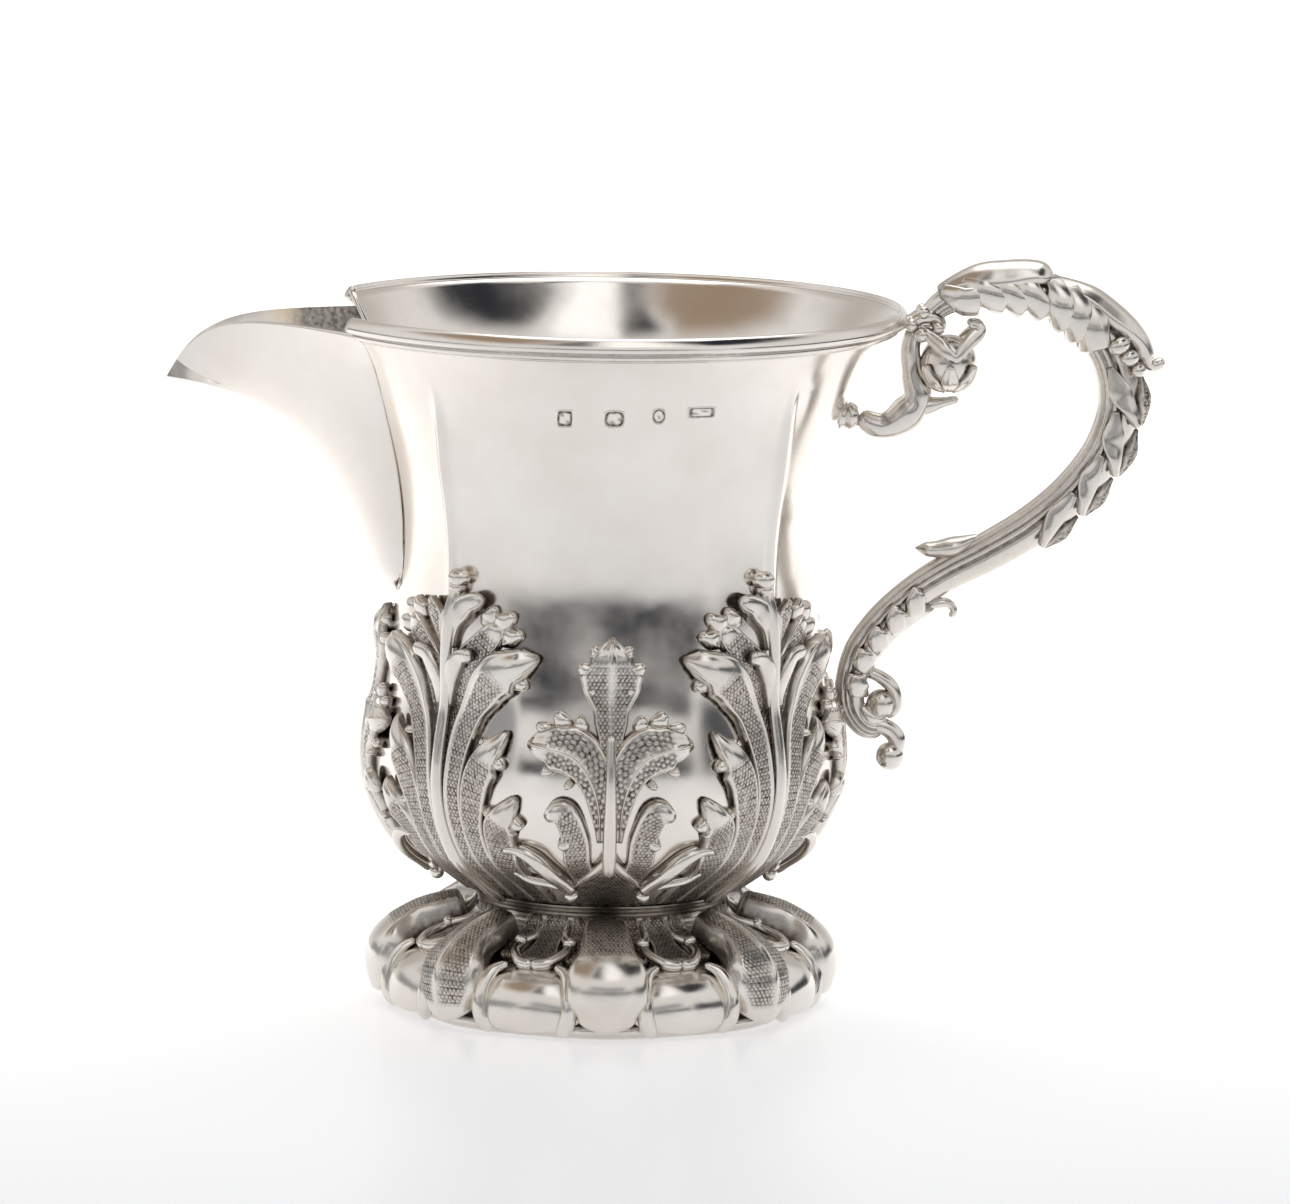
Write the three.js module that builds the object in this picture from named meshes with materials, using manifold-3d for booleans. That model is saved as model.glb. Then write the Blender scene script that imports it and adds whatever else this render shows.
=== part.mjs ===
// A silver cream jug of about 1840: a sheet body with four ridges, a soldered spout, an applied rim
// moulding, cast acanthus work round the bowl, a spreading petal foot and a cast scroll handle.
// Units are millimetres. The spout points to -X, the handle to +X and the front is -Y.
// The origin is the middle of the bottom of the jug's bounding box.
import * as THREE from "three";
import { mergeVertices } from "three/addons/utils/BufferGeometryUtils.js";
import Module from "manifold-3d";

// ---------------------------------------------------------------- driving dimensions
const CLEARANCE = 0.3; // left for solder between two touching pieces
const WALL = 0.9; // sheet of the body and the spout
const NECK_RADIUS = 18.8; // the body's lower end, where the foot is soldered on
const NECK_HEIGHT = 17.3;
const BOWL_RADIUS = 32.8;
const BOWL_HEIGHT = 34.5;
const WAIST_RADIUS = 29.6;
const WAIST_HEIGHT = 66;
const RIM_RADIUS = 41.8;
const RIM_HEIGHT = 100.2;
const RIDGE_RISE = 0.09; // share of the radius by which a ridge stands out at the waist
const RIDGE_START = 45; // height at which the ridges begin
const RIDGE_END_DROP = 7.2; // from the rim down to where they fade out
const RIM_BAND = 3.3; // width of the moulding down the flare
const RIM_PROJECTION = 1.3;

const SPOUT_FOOT_HEIGHT = 59.9; // where the spout's keel leaves the body
const SPOUT_REACH = 62.9; // from the body's axis to the tip
const SPOUT_TIP_DROP = 10.2; // from the rim down to the tip
const SPOUT_MOUTH_ANGLE = 27; // degrees from the keel to the spout's edge at the rim

const LEAF_HEIGHT = 54; // along the body, from the neck to the bud
const PALMETTE_HEIGHT = 46.5;
const RELIEF = 1.3; // thickness of the cast leaves
const LEAF_SEAT = 0.45; // the leaves' solder, thick enough for the bend at each ridge
const SCROLL_RADIUS = 0.75;

const FOOT_RADIUS = 32.3; // over the petals
const PETAL_OVERHANG = 1.4; // of the petals beyond the ring
const FOOT_RING_HEIGHT = 2.1;
const FOOT_RING_WIDTH = 5;
const FOOT_WALL = 1;
const PETALS = 8;
const PETAL_WIDTH = 11.6;
const PETAL_THICKNESS = 1.2;

const LOWER_JOINT_HEIGHT = 52; // where the handle's scroll meets the body
const UPPER_JOINT_DROP = 14.9; // from the rim down to where the handle's branch meets the body
const STEM_WIDTH = 6.2; // the handle's stem seen from the side
const STEM_DEPTH = 5.4; // the handle's stem seen from behind
const BUD_RADIUS = 4.1;
const TAIL_BALL_RADIUS = 2.1;

const RIDGE_END = RIM_HEIGHT - RIDGE_END_DROP;
const SPOUT_TIP_HEIGHT = RIM_HEIGHT - SPOUT_TIP_DROP;
const UPPER_JOINT_HEIGHT = RIM_HEIGHT - UPPER_JOINT_DROP;
const FOOT_RING_RADIUS = FOOT_RADIUS - PETAL_OVERHANG;

// The handle's pattern is drawn for this jug, and is moved and stretched to any other: these are the heights
// that it is held at, from its tail to the rim, and the body's radius at each.
const TAIL_DROP = 12; // from the lower joint down to the handle's tail
const PATTERN = { heights: [40, 52, 85.3, 100.2], radii: [32.52, 30.8, 33.16, 41.8] };

const LATHE_SEGMENTS = 48;

// ---------------------------------------------------------------- materials
const polished = new THREE.MeshStandardMaterial({ color: 0xdad7d0, metalness: 1, roughness: 0.14 });
const cast = new THREE.MeshStandardMaterial({ color: 0xc9c5bc, metalness: 1, roughness: 0.24 });
const matted = new THREE.MeshStandardMaterial({ color: 0xa39b8e, metalness: 1, roughness: 0.42 });

// ---------------------------------------------------------------- solids
const wasm = await Module();
wasm.setup();

const { clamp, degToRad, lerp, smoothstep } = THREE.MathUtils;
const vec = (x, y, z) => new THREE.Vector3(x, y, z);

/** A smooth curve through points given as [a, b] pairs. */
function curveThrough(pairs) {
  const curve = new THREE.CatmullRomCurve3(pairs.map(([a, b]) => vec(a, b, 0)), false, "centripetal");
  curve.arcLengthDivisions = 300;
  return curve;
}

/** The value that a smooth curve through [position, value] pairs has at a position from 0 to 1. */
function taper(pairs) {
  return (t) => {
    const next = Math.max(1, pairs.findIndex(([at]) => at >= t));
    const [[t0, v0], [t1, v1]] = [pairs[next - 1], pairs[next]];
    return lerp(v0, v1, smoothstep(t, t0, t1));
  };
}

/** A closed solid made from a closed three.js geometry, with each vertex moved by a function. */
function solid(geometry, move = (p) => p) {
  const bare = geometry.clone();
  bare.deleteAttribute("normal");
  bare.deleteAttribute("uv");
  const places = bare.getAttribute("position");
  for (let i = 0; i < places.count; i += 1) {
    const p = move(vec().fromBufferAttribute(places, i));
    places.setXYZ(i, p.x, p.y, p.z);
  }
  const merged = mergeVertices(bare, 1e-3);
  const triVerts = new Uint32Array(merged.index.array);
  const corner = (i) => vec().fromBufferAttribute(merged.getAttribute("position"), triVerts[i]);
  let volume = 0;
  for (let i = 0; i < triVerts.length; i += 3) {
    volume += corner(i).dot(corner(i + 1).cross(corner(i + 2)));
  }
  if (volume < 0) {
    for (let i = 0; i < triVerts.length; i += 3) {
      [triVerts[i + 1], triVerts[i + 2]] = [triVerts[i + 2], triVerts[i + 1]];
    }
  }
  const vertProperties = merged.getAttribute("position").array;
  return new wasm.Manifold(new wasm.Mesh({ numProp: 3, vertProperties, triVerts }));
}

/** All of several solids joined into one. */
const joined = (solids) => solids.reduce((whole, next) => whole.add(next));

const jug = new THREE.Group();

/** Adds a solid to the jug as a named piece. */
function piece(name, shape, material) {
  const { vertProperties, triVerts } = shape.getMesh();
  const geometry = new THREE.BufferGeometry();
  geometry.setAttribute("position", new THREE.BufferAttribute(vertProperties, 3));
  geometry.setIndex(new THREE.BufferAttribute(triVerts, 1));
  geometry.computeVertexNormals();
  const mesh = new THREE.Mesh(geometry, material);
  mesh.name = name;
  jug.add(mesh);
}

/** A solid of revolution about Z from an outline of [radius, height] pairs, closed if it is off the axis. */
function turned(outline, segments = LATHE_SEGMENTS, move = (p) => p) {
  const closed = outline[0][0] > 0 ? [...outline, outline[0]] : outline;
  const points = closed.map(([r, z]) => new THREE.Vector2(r, z));
  return solid(new THREE.LatheGeometry(points, segments), (p) => move(vec(p.x, -p.z, p.y)));
}

/** A round or oval bar that follows a curve, with a half width and a half depth at each place. */
function bar(place, pairs, halfWidth, halfDepth, rings = 10, sides = 8) {
  const path = curveThrough(pairs);
  return solid(new THREE.CylinderGeometry(1, 1, 1, sides, rings), (p) => {
    const t = clamp(0.5 - p.y, 0, 1);
    const at = path.getPointAt(t);
    const along = path.getTangentAt(t);
    const across = p.x * halfWidth(t);
    return place(at.x + along.y * across, at.y - along.x * across, p.z * halfDepth(t));
  });
}

/** A leaf lobe on a surface: a pointed lens that follows a curve drawn on the surface. */
function lobe(place, pairs, halfWidth, lift, sides = 6, rings = 4) {
  const path = curveThrough(pairs);
  return solid(new THREE.SphereGeometry(1, sides, rings), (p) => {
    const t = Math.acos(clamp(p.y, -1, 1)) / Math.PI;
    const waist = Math.max(Math.hypot(p.x, p.z), 1e-6);
    const at = path.getPointAt(t);
    const along = path.getTangentAt(t);
    const width = waist > 1e-4 ? (p.x / waist) * halfWidth(t) : 0;
    const up = waist > 1e-4 ? p.z / waist : 0;
    return place(at.x + along.y * width, at.y - along.x * width, lift(t, up));
  });
}

// ---------------------------------------------------------------- the body's surface
const bodyCurve = curveThrough([
  [NECK_RADIUS, NECK_HEIGHT],
  [lerp(NECK_RADIUS, BOWL_RADIUS, 0.4), lerp(NECK_HEIGHT, BOWL_HEIGHT, 0.24)],
  [lerp(NECK_RADIUS, BOWL_RADIUS, 0.78), lerp(NECK_HEIGHT, BOWL_HEIGHT, 0.52)],
  [BOWL_RADIUS, BOWL_HEIGHT],
  [lerp(BOWL_RADIUS, WAIST_RADIUS, 0.5), lerp(BOWL_HEIGHT, WAIST_HEIGHT, 0.47)],
  [WAIST_RADIUS, WAIST_HEIGHT],
  [lerp(WAIST_RADIUS, RIM_RADIUS, 0.08), lerp(WAIST_HEIGHT, RIM_HEIGHT, 0.29)],
  [lerp(WAIST_RADIUS, RIM_RADIUS, 0.28), lerp(WAIST_HEIGHT, RIM_HEIGHT, 0.55)],
  [lerp(WAIST_RADIUS, RIM_RADIUS, 0.58), lerp(WAIST_HEIGHT, RIM_HEIGHT, 0.8)],
  [RIM_RADIUS, RIM_HEIGHT],
]);
const bodyLength = bodyCurve.getLength();

/** How far along the body's outline, in mm from the neck, a height lies. */
function alongBody(height) {
  let low = 0;
  let high = 1;
  for (let i = 0; i < 30; i += 1) {
    const middle = (low + high) / 2;
    if (bodyCurve.getPointAt(middle).y < height) low = middle;
    else high = middle;
  }
  return low * bodyLength;
}

const bodyRadiusAt = (height) => bodyCurve.getPointAt(alongBody(height) / bodyLength).x;

/** By what the ridges multiply the body's radius at an angle and a height. */
function ridgeFactor(angle, height) {
  const quarter = Math.PI / 2;
  const fromPanel = Math.abs(THREE.MathUtils.euclideanModulo(angle + quarter / 2, quarter) - quarter / 2);
  const strength = smoothstep(height, RIDGE_START, RIDGE_START + 15)
    * (1 - smoothstep(height, RIDGE_END - 16, RIDGE_END));
  return 1 + RIDGE_RISE * strength * (fromPanel / (quarter / 2)) ** 3;
}

/** A point on the body, or above it: mm up the outline, angle, and mm off the surface. */
function onBody(along, angle, lift) {
  const t = clamp(along / bodyLength, 0, 1);
  const at = bodyCurve.getPointAt(t);
  const slope = bodyCurve.getTangentAt(t);
  const radius = at.x * ridgeFactor(angle, at.y) + lift * slope.y;
  return vec(radius * Math.cos(angle), radius * Math.sin(angle), at.y - lift * slope.x);
}

/** The same, for a pattern drawn flat: mm round the body from a centre line, and mm up it. */
function bodyPattern(centre) {
  return (round, along, lift) => {
    const radius = bodyCurve.getPointAt(clamp(along / bodyLength, 0, 1)).x;
    return onBody(along, centre + round / radius, lift);
  };
}

// ---------------------------------------------------------------- body, spout and rim
/** Half the angle that the spout's opening takes out of the body at a height. */
function spoutHalfAngle(height) {
  const up = clamp((height - SPOUT_FOOT_HEIGHT) / (RIM_HEIGHT - SPOUT_FOOT_HEIGHT), 0, 1);
  const sides = SPOUT_MOUTH_ANGLE * (0.34 + 0.5 * up + 0.16 * up ** 6);
  return degToRad(sides * Math.sqrt(clamp(up / 0.06, 0.03, 1)));
}

const ridged = (p) => {
  const factor = ridgeFactor(Math.atan2(p.y, p.x), p.z);
  return vec(p.x * factor, p.y * factor, p.z);
};

const wallSteps = 14;
const outside = [];
const inside = [];
for (let i = 0; i <= wallSteps; i += 1) {
  const t = i / wallSteps;
  const at = bodyCurve.getPointAt(t);
  const slope = bodyCurve.getTangentAt(t);
  outside.push([at.x, at.y]);
  inside.unshift([at.x - WALL * slope.y, at.y + WALL * slope.x]);
}
const wallOutline = [[0, NECK_HEIGHT], ...outside, ...inside, [0, NECK_HEIGHT + WALL]];
const bodySolid = turned(wallOutline, LATHE_SEGMENTS, ridged);

/** The wedge of space that the spout opens through, wider than the opening by a gap all round. */
function spoutWedge(gap) {
  return solid(new THREE.BoxGeometry(1, 1, 1, 6, 16, 1), (p) => {
    const height = lerp(SPOUT_FOOT_HEIGHT - gap, RIM_HEIGHT + 3, p.y + 0.5);
    const wall = bodyRadiusAt(Math.min(height, RIM_HEIGHT));
    const radius = p.z > 0 ? SPOUT_REACH + 10 : wall - 6;
    const angle = Math.PI + 2 * p.x * (spoutHalfAngle(height + gap) + gap / wall);
    return vec(radius * Math.cos(angle), radius * Math.sin(angle), height);
  });
}
piece("body_shell", bodySolid.subtract(spoutWedge(CLEARANCE)), polished);

// The keel and the lip are drawn as shares of the way from the body to the tip.
const footRadius = bodyRadiusAt(SPOUT_FOOT_HEIGHT);
const keel = curveThrough([
  [0, 0], [0.1, 0.11], [0.15, 0.26], [0.25, 0.5], [0.43, 0.74], [0.65, 0.9], [0.85, 0.97], [1, 1],
]);
const LIP_TOP = RIM_HEIGHT - 2.4;
const LIP_RISE = 0.9;

/** A point of the spout's outer surface: up is 0 at the foot and 1 at the lip, side is -1 to 1. */
function spoutSurface(up, side) {
  const height = lerp(SPOUT_FOOT_HEIGHT, LIP_TOP, up);
  const angle = spoutHalfAngle(lerp(height, RIM_HEIGHT, up ** 6));
  const edgeRadius = bodyRadiusAt(height);
  const share = keel.getPointAt(up);
  const keelX = lerp(footRadius, SPOUT_REACH, share.x);
  const keelZ = lerp(SPOUT_FOOT_HEIGHT, SPOUT_TIP_HEIGHT, share.y);
  const turn = Math.abs(side) * Math.PI / 2;
  const beak = up ** 3;
  const outward = Math.cos(turn) ** lerp(1, 2, beak);
  const sideways = Math.sin(turn) ** lerp(1, 2.5, beak);
  const edgeX = edgeRadius * Math.cos(angle);
  const edgeY = edgeRadius * Math.sin(angle);
  const drop = outward ** lerp(1, 7, beak);
  const rise = LIP_RISE * up ** 4 * Math.sin(Math.PI * outward);
  const y = -Math.sign(side) * edgeY * sideways;
  return vec(-lerp(edgeX, keelX, outward), y, lerp(height, keelZ, drop) + rise);
}

const spoutStep = 0.01;
const spoutSolid = solid(new THREE.BoxGeometry(1, 1, 1, 12, 9, 1), (p) => {
  const up = clamp(p.y + 0.5, 0, 1);
  const side = clamp(2 * p.x, -1, 1);
  const upTo = Math.min(up + spoutStep, 1);
  const sideTo = Math.min(side + spoutStep, 1);
  const alongUp = spoutSurface(upTo, side).sub(spoutSurface(upTo - spoutStep, side));
  const alongSide = spoutSurface(up, sideTo).sub(spoutSurface(up, sideTo - spoutStep));
  const inward = alongUp.cross(alongSide).normalize();
  if (inward.x < 0) inward.negate();
  return spoutSurface(up, side).addScaledVector(inward, p.z > 0 ? WALL : 0);
});
piece("spout", spoutSolid.intersect(spoutWedge(0)), polished);

// The moulding lies against the flare: a roll at its top, a hollow, and a smaller roll below.
const bandStart = bodyLength - RIM_BAND;
const bandOutline = [[0, 0], [1, 0], [1, 0.75], [0.85, 1], [0.67, 0.5], [0.45, 0.4], [0.3, 0.7], [0, 0.45]];
const bandSolid = turned(bandOutline.map(([along, out]) => {
  const p = onBody(bandStart + along * RIM_BAND, 0, CLEARANCE + out * RIM_PROJECTION);
  return [p.x, p.z];
}));
const bandGap = solid(new THREE.BoxGeometry(1, 1, 1, 6, 1, 1), (p) => {
  const radius = p.z > 0 ? RIM_RADIUS + 8 : RIM_RADIUS - 14;
  const angle = Math.PI + 2 * p.x * degToRad(SPOUT_MOUTH_ANGLE + 1);
  return vec(radius * Math.cos(angle), radius * Math.sin(angle), RIM_HEIGHT + p.y * 20);
});
piece("rim_moulding", bandSolid.subtract(bandGap), polished);

// ---------------------------------------------------------------- acanthus work round the bowl
/** How a leaf's lobe lies on the wall: thickest half way along it. */
const onSurface = (height) => (t, up) => (
  LEAF_SEAT + height * (0.5 + 0.5 * up) * (0.55 + 0.45 * Math.sin(Math.PI * t))
);
/** The same for a lobe whose end curls up off the wall. */
const curledUp = (height, curl) => (t, up) => (
  LEAF_SEAT + height * (0.5 + 0.5 * up) + curl * smoothstep(t, 0.55, 1)
);

// The lobes on one side of a large leaf, from the top down: the path in mm round and up, the share of the
// tip's lean that each point takes, the half width along the path, and how far the end curls up.
const LEAF_LOBES = [
  {
    path: [[0, 46.5], [2, 49.6], [4.6, 51.5]],
    lean: [0.3, 0.8, 0.9],
    width: [[0, 1], [0.6, 1.2], [1, 0.3]],
    curl: 0.8,
  },
  {
    path: [[0, 35], [3, 42], [8.4, 48.2]],
    lean: [0, 0, 0.4],
    width: [[0, 1.4], [0.6, 2.1], [1, 0.6]],
    curl: 0,
  },
  {
    path: [[0, 27], [3, 36], [7.6, 41], [14.6, 44]],
    lean: [0, 0, 0, 0],
    width: [[0, 1.6], [0.6, 3], [1, 0.5]],
    curl: 1.2,
  },
  {
    path: [[0.5, 22], [3.6, 31.5], [7, 36.6], [11.3, 38.8]],
    lean: [0, 0, 0, 0],
    width: [[0, 1.5], [0.6, 1.7], [1, 0.6]],
    curl: 0,
  },
  {
    path: [[1.5, 14], [5, 23], [8.4, 29], [10.9, 33.3]],
    lean: [0, 0, 0, 0],
    width: [[0, 2], [0.6, 2.2], [1, 0.6]],
    curl: 0,
  },
  {
    path: [[4, 7], [7, 13.4], [9, 18.5], [12.9, 23.6]],
    lean: [0, 0, 0, 0],
    width: [[0, 2.4], [0.6, 2.3], [1, 0.8]],
    curl: 0,
  },
];
const LEAF_DRAWN = 54; // the height that the large leaf is drawn at
const LEAF_LEAN = 2.3;
const LEAF_BUD = 1.3; // radius of the bud at the leaf's tip
const PALMETTE_DRAWN = 46.5;

/** A large leaf: a broad base, a midrib up the ridge whose tip leans to one side, and six lobes a side. */
function largeLeaf(centre, lean) {
  const place = bodyPattern(centre);
  const k = LEAF_HEIGHT / LEAF_DRAWN;
  const tip = [LEAF_LEAN * lean, LEAF_HEIGHT];
  const budPath = [[tip[0], tip[1] - 2], [tip[0], tip[1] + 1.2]];
  const bud = (t, up) => CLEARANCE + LEAF_BUD + LEAF_BUD * up * Math.sin(Math.PI * clamp(t, 0.1, 0.9));
  const midrib = [[0, 1.5], [0, 8 * k], [0, 20 * k], [0, 34 * k], [0, 45 * k], tip];
  const midribHalf = taper([[0, 3], [0.13, 8.6], [0.28, 5.6], [0.45, 3.6], [0.8, 1.9], [1, 0.8]]);
  const parts = [
    lobe(place, midrib, midribHalf, onSurface(RELIEF), 6, 8),
    lobe(place, budPath, taper([[0, 1], [0.5, LEAF_BUD + 0.1], [1, 1]]), bud, 6, 4),
  ];
  for (const side of [-1, 1]) {
    for (const { path, lean: share, width, curl } of LEAF_LOBES) {
      const drawn = path.map(([round, along], i) => [side * round + share[i] * tip[0], along * k]);
      parts.push(lobe(place, drawn, taper(width), curl > 0 ? curledUp(RELIEF, curl) : onSurface(RELIEF)));
    }
  }
  return joined(parts);
}

/** A palmette: a stem with a five-pointed head, two curling side lobes and two low curls. */
function palmette(centre, headTop) {
  const place = bodyPattern(centre);
  const k = PALMETTE_HEIGHT / PALMETTE_DRAWN;
  const headHalf = taper([[0, 2.2], [0.25, 1.5], [0.62, 1.5], [0.84, 3.9], [0.9, 2.4], [1, 0.4]]);
  const stem = [[0, 8 * k], [0, 22 * k], [0, 32 * k], [0, headTop * k]];
  const parts = [lobe(place, stem, headHalf, onSurface(RELIEF), 6, 10)];
  const upperHalf = taper([[0, 1.4], [0.35, 2.4], [0.62, 3.6], [1, 0.4]]);
  const lowerHalf = taper([[0, 1.4], [0.5, 1.6], [1, 0.5]]);
  for (const side of [-1, 1]) {
    const draw = (pairs) => pairs.map(([round, along]) => [side * round, along * k]);
    const upper = draw([[0, 15], [1.4, 23], [5, 29.6], [11.8, 31.6]]);
    const lower = draw([[0.3, 10.5], [3.9, 14], [4.2, 19.5], [6.2, 22.8], [9.2, 21.6]]);
    parts.push(lobe(place, upper, upperHalf, curledUp(RELIEF, 0.8)));
    parts.push(lobe(place, lower, lowerHalf, onSurface(RELIEF)));
  }
  return joined(parts);
}

/** A C-scroll stem with a knob at its lower end, between a large leaf and a palmette. */
function scrollStem(middle, side) {
  const place = bodyPattern(middle);
  const drawn = [[-0.9, 15.2], [1.1, 14], [2.9, 11.2], [3.8, 7.2]];
  const path = drawn.map(([round, along]) => [side * round, along]);
  const radius = taper([[0, 0.7], [0.4, 1], [0.75, 0.8], [0.92, 1.25], [1, 0.9]]);
  return bar((round, along, out) => place(round, along, CLEARANCE + 1.25 * SCROLL_RADIUS + out), path,
    (t) => SCROLL_RADIUS * radius(t), (t) => SCROLL_RADIUS * radius(t), 6, 6);
}

const leafPlaces = [
  ["front_right", -1, -1], ["back_right", 1, 1], ["back_left", 3, -1], ["front_left", -3, 1],
];
for (const [name, eighth, lean] of leafPlaces) {
  piece(`leaf_${name}`, largeLeaf(eighth * Math.PI / 4, lean), cast);
}
// The palmette under the handle has a short head, which ends below the handle's lower collar.
const fullHead = PALMETTE_HEIGHT;
const shortHead = alongBody(LOWER_JOINT_HEIGHT - 3.2);
const palmettePlaces = [
  ["front", -1, fullHead], ["handle", 0, shortHead], ["back", 1, fullHead], ["spout", 2, fullHead],
];
for (const [name, quarter, top] of palmettePlaces) {
  const centre = quarter * Math.PI / 2;
  piece(`palmette_${name}`, palmette(centre, top), cast);
  piece(`scroll_${name}_1`, scrollStem(centre - Math.PI / 8, 1), cast);
  piece(`scroll_${name}_2`, scrollStem(centre + Math.PI / 8, -1), cast);
}

// ---------------------------------------------------------------- foot
const skirtRadius = FOOT_RING_RADIUS - 0.5;
const skirtBottom = FOOT_RING_HEIGHT + CLEARANCE;
const footTop = NECK_HEIGHT - CLEARANCE;
const footCurve = curveThrough([
  [NECK_RADIUS - 0.3, footTop],
  [NECK_RADIUS - 1.1, footTop - 1.8],
  [NECK_RADIUS, footTop - 4],
  [lerp(NECK_RADIUS, skirtRadius, 0.28), footTop - 6.2],
  [lerp(NECK_RADIUS, skirtRadius, 0.65), footTop - 8.2],
  [lerp(NECK_RADIUS, skirtRadius, 0.92), footTop - 10.6],
  [skirtRadius, skirtBottom + 2.6],
  [skirtRadius - 0.5, skirtBottom],
]);
const footLength = footCurve.getLength();

/** A place on the foot's shell, for a pattern drawn flat: mm round, mm down, mm off the surface. */
function footPattern(centre, curve = footCurve, length = footLength) {
  return (round, down, lift) => {
    const t = clamp(down / length, 0, 1);
    const at = curve.getPointAt(t);
    const slope = curve.getTangentAt(t);
    const angle = centre + round / at.x;
    const radius = at.x - lift * slope.y;
    return vec(radius * Math.cos(angle), radius * Math.sin(angle), at.y + lift * slope.x);
  };
}

const skirt = [];
const skirtInside = [];
const skirtSteps = 9;
for (let i = 0; i <= skirtSteps; i += 1) {
  const at = footPattern(0)(0, footLength * i / skirtSteps, 0);
  const within = footPattern(0)(0, footLength * i / skirtSteps, -FOOT_WALL);
  skirt.unshift([at.x, at.z]);
  skirtInside.push([within.x, i === 0 ? footTop : within.z]);
}
skirtInside[skirtSteps][1] = skirtBottom;
piece("foot_shell", turned([...skirt, ...skirtInside], 40), matted);

const ringInner = FOOT_RING_RADIUS - FOOT_RING_WIDTH;
const ringOutline = [
  [ringInner, 0],
  [FOOT_RING_RADIUS - 1.9, 0],
  [FOOT_RING_RADIUS - 0.7, 0.5],
  [FOOT_RING_RADIUS, 1.4],
  [FOOT_RING_RADIUS - 0.3, FOOT_RING_HEIGHT],
  [ringInner, FOOT_RING_HEIGHT],
];
piece("foot_ring", turned(ringOutline, 40), polished);

// The petals rise from the neck, arch over the shell and turn down to a point just above the ring.
const petalCurve = curveThrough([
  [NECK_RADIUS + 1.2, footTop - 0.9],
  [NECK_RADIUS + 4.2, footTop - 1.7],
  [lerp(NECK_RADIUS, FOOT_RADIUS, 0.62), footTop - 3.4],
  [lerp(NECK_RADIUS, FOOT_RADIUS, 0.85), footTop - 5.6],
  [FOOT_RADIUS - 0.3, footTop - 8.2],
  [FOOT_RADIUS, footTop - 10.2],
  [FOOT_RADIUS - 0.1, footTop - 12.6],
  [FOOT_RADIUS - 0.3, skirtBottom + 0.5],
]);
const petalLength = petalCurve.getLength();
const petalArch = 1.3;

/** One petal: a thin arched shell with a pointed tip. */
function petal(centre) {
  const place = footPattern(centre, petalCurve, petalLength);
  const half = PETAL_WIDTH / 2;
  const width = taper([[0, 0.68 * half], [0.3, 0.78 * half], [0.62, half], [0.85, 0.72 * half], [1, 0.1]]);
  const cell = new THREE.BoxGeometry(1, 1, 1, 4, 6, 1);
  return solid(cell, (p) => {
    const t = p.y + 0.5;
    const across = 2 * p.x;
    const arch = petalArch * across ** 2 * Math.sin(Math.PI * clamp(0.15 + t, 0, 1));
    return place(across * width(t), t * petalLength, (p.z > 0 ? 0 : -PETAL_THICKNESS) - arch);
  });
}

/** One tongue: a short matted leaf lying in the valley between two petals. */
function tongue(centre) {
  const place = footPattern(centre);
  return lobe(place, [[0, 3.4], [0, 7], [0, 12.8]], taper([[0, 0.7], [0.45, 1.3], [0.8, 2.3], [1, 1.2]]),
    (t, up) => CLEARANCE + 1.1 * (0.5 + 0.5 * up));
}

for (let i = 0; i < PETALS; i += 1) {
  const centre = i * 2 * Math.PI / PETALS;
  piece(`foot_petal_${i + 1}`, petal(centre), cast);
  piece(`foot_tongue_${i + 1}`, tongue(centre + Math.PI / PETALS), cast);
}

// ---------------------------------------------------------------- handle
const heldHeights = [LOWER_JOINT_HEIGHT - TAIL_DROP, LOWER_JOINT_HEIGHT, UPPER_JOINT_HEIGHT, RIM_HEIGHT];
const heldMoves = heldHeights.map((height, i) => bodyRadiusAt(height) - PATTERN.radii[i]);

/** A point of the handle's pattern, moved to this jug: distance out, height, and depth along Y. */
function onHandle(x, z, depth) {
  const above = PATTERN.heights.findIndex((height) => height >= z);
  const next = above < 0 ? PATTERN.heights.length - 1 : Math.max(1, above);
  const [low, high] = [PATTERN.heights[next - 1], PATTERN.heights[next]];
  const t = (z - low) / (high - low);
  const moved = lerp(heldMoves[next - 1], heldMoves[next], clamp(t, 0, 1));
  return vec(x + moved, depth, lerp(heldHeights[next - 1], heldHeights[next], t));
}

const stemPath = [
  [44.3, 98.4], [47.5, 101.6], [52.4, 103.3], [58.2, 103.4], [64.2, 101.8], [69.2, 98.1], [72.2, 92.9],
  [72.8, 87], [70.9, 80.8], [66.4, 74.7], [60.6, 69.7], [54.4, 65.9], [48.4, 62.7], [43.4, 59.3],
  [39.2, 55.3], [36.3, 51.1], [35.2, 47.1], [35.4, 43.4], [37.3, 40.7], [40.2, 40],
];
const stemShare = taper([
  [0, 0.5], [0.1, 0.8], [0.33, 1], [0.58, 0.95], [0.8, 0.78], [0.91, 0.62], [0.97, 0.42], [1, 0.3],
]);
const stemHalfWidth = (t) => stemShare(t) * STEM_WIDTH / 2;
const stemHalfDepth = (t) => stemShare(t) * STEM_DEPTH / 2;
piece("handle_stem", bar(onHandle, stemPath, stemHalfWidth, stemHalfDepth, 36, 8), cast);

/** A rounded drop from one end to the other, lying in the handle's plane. */
function drop(pairs, half, depth, rings = 6) {
  const round = (t) => Math.sqrt(clamp(1 - (2 * t - 1) ** 4, 0.05, 1));
  return bar(onHandle, pairs, (t) => half(t) * round(t), (t) => depth * half(t) * round(t), rings, 8);
}

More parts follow.
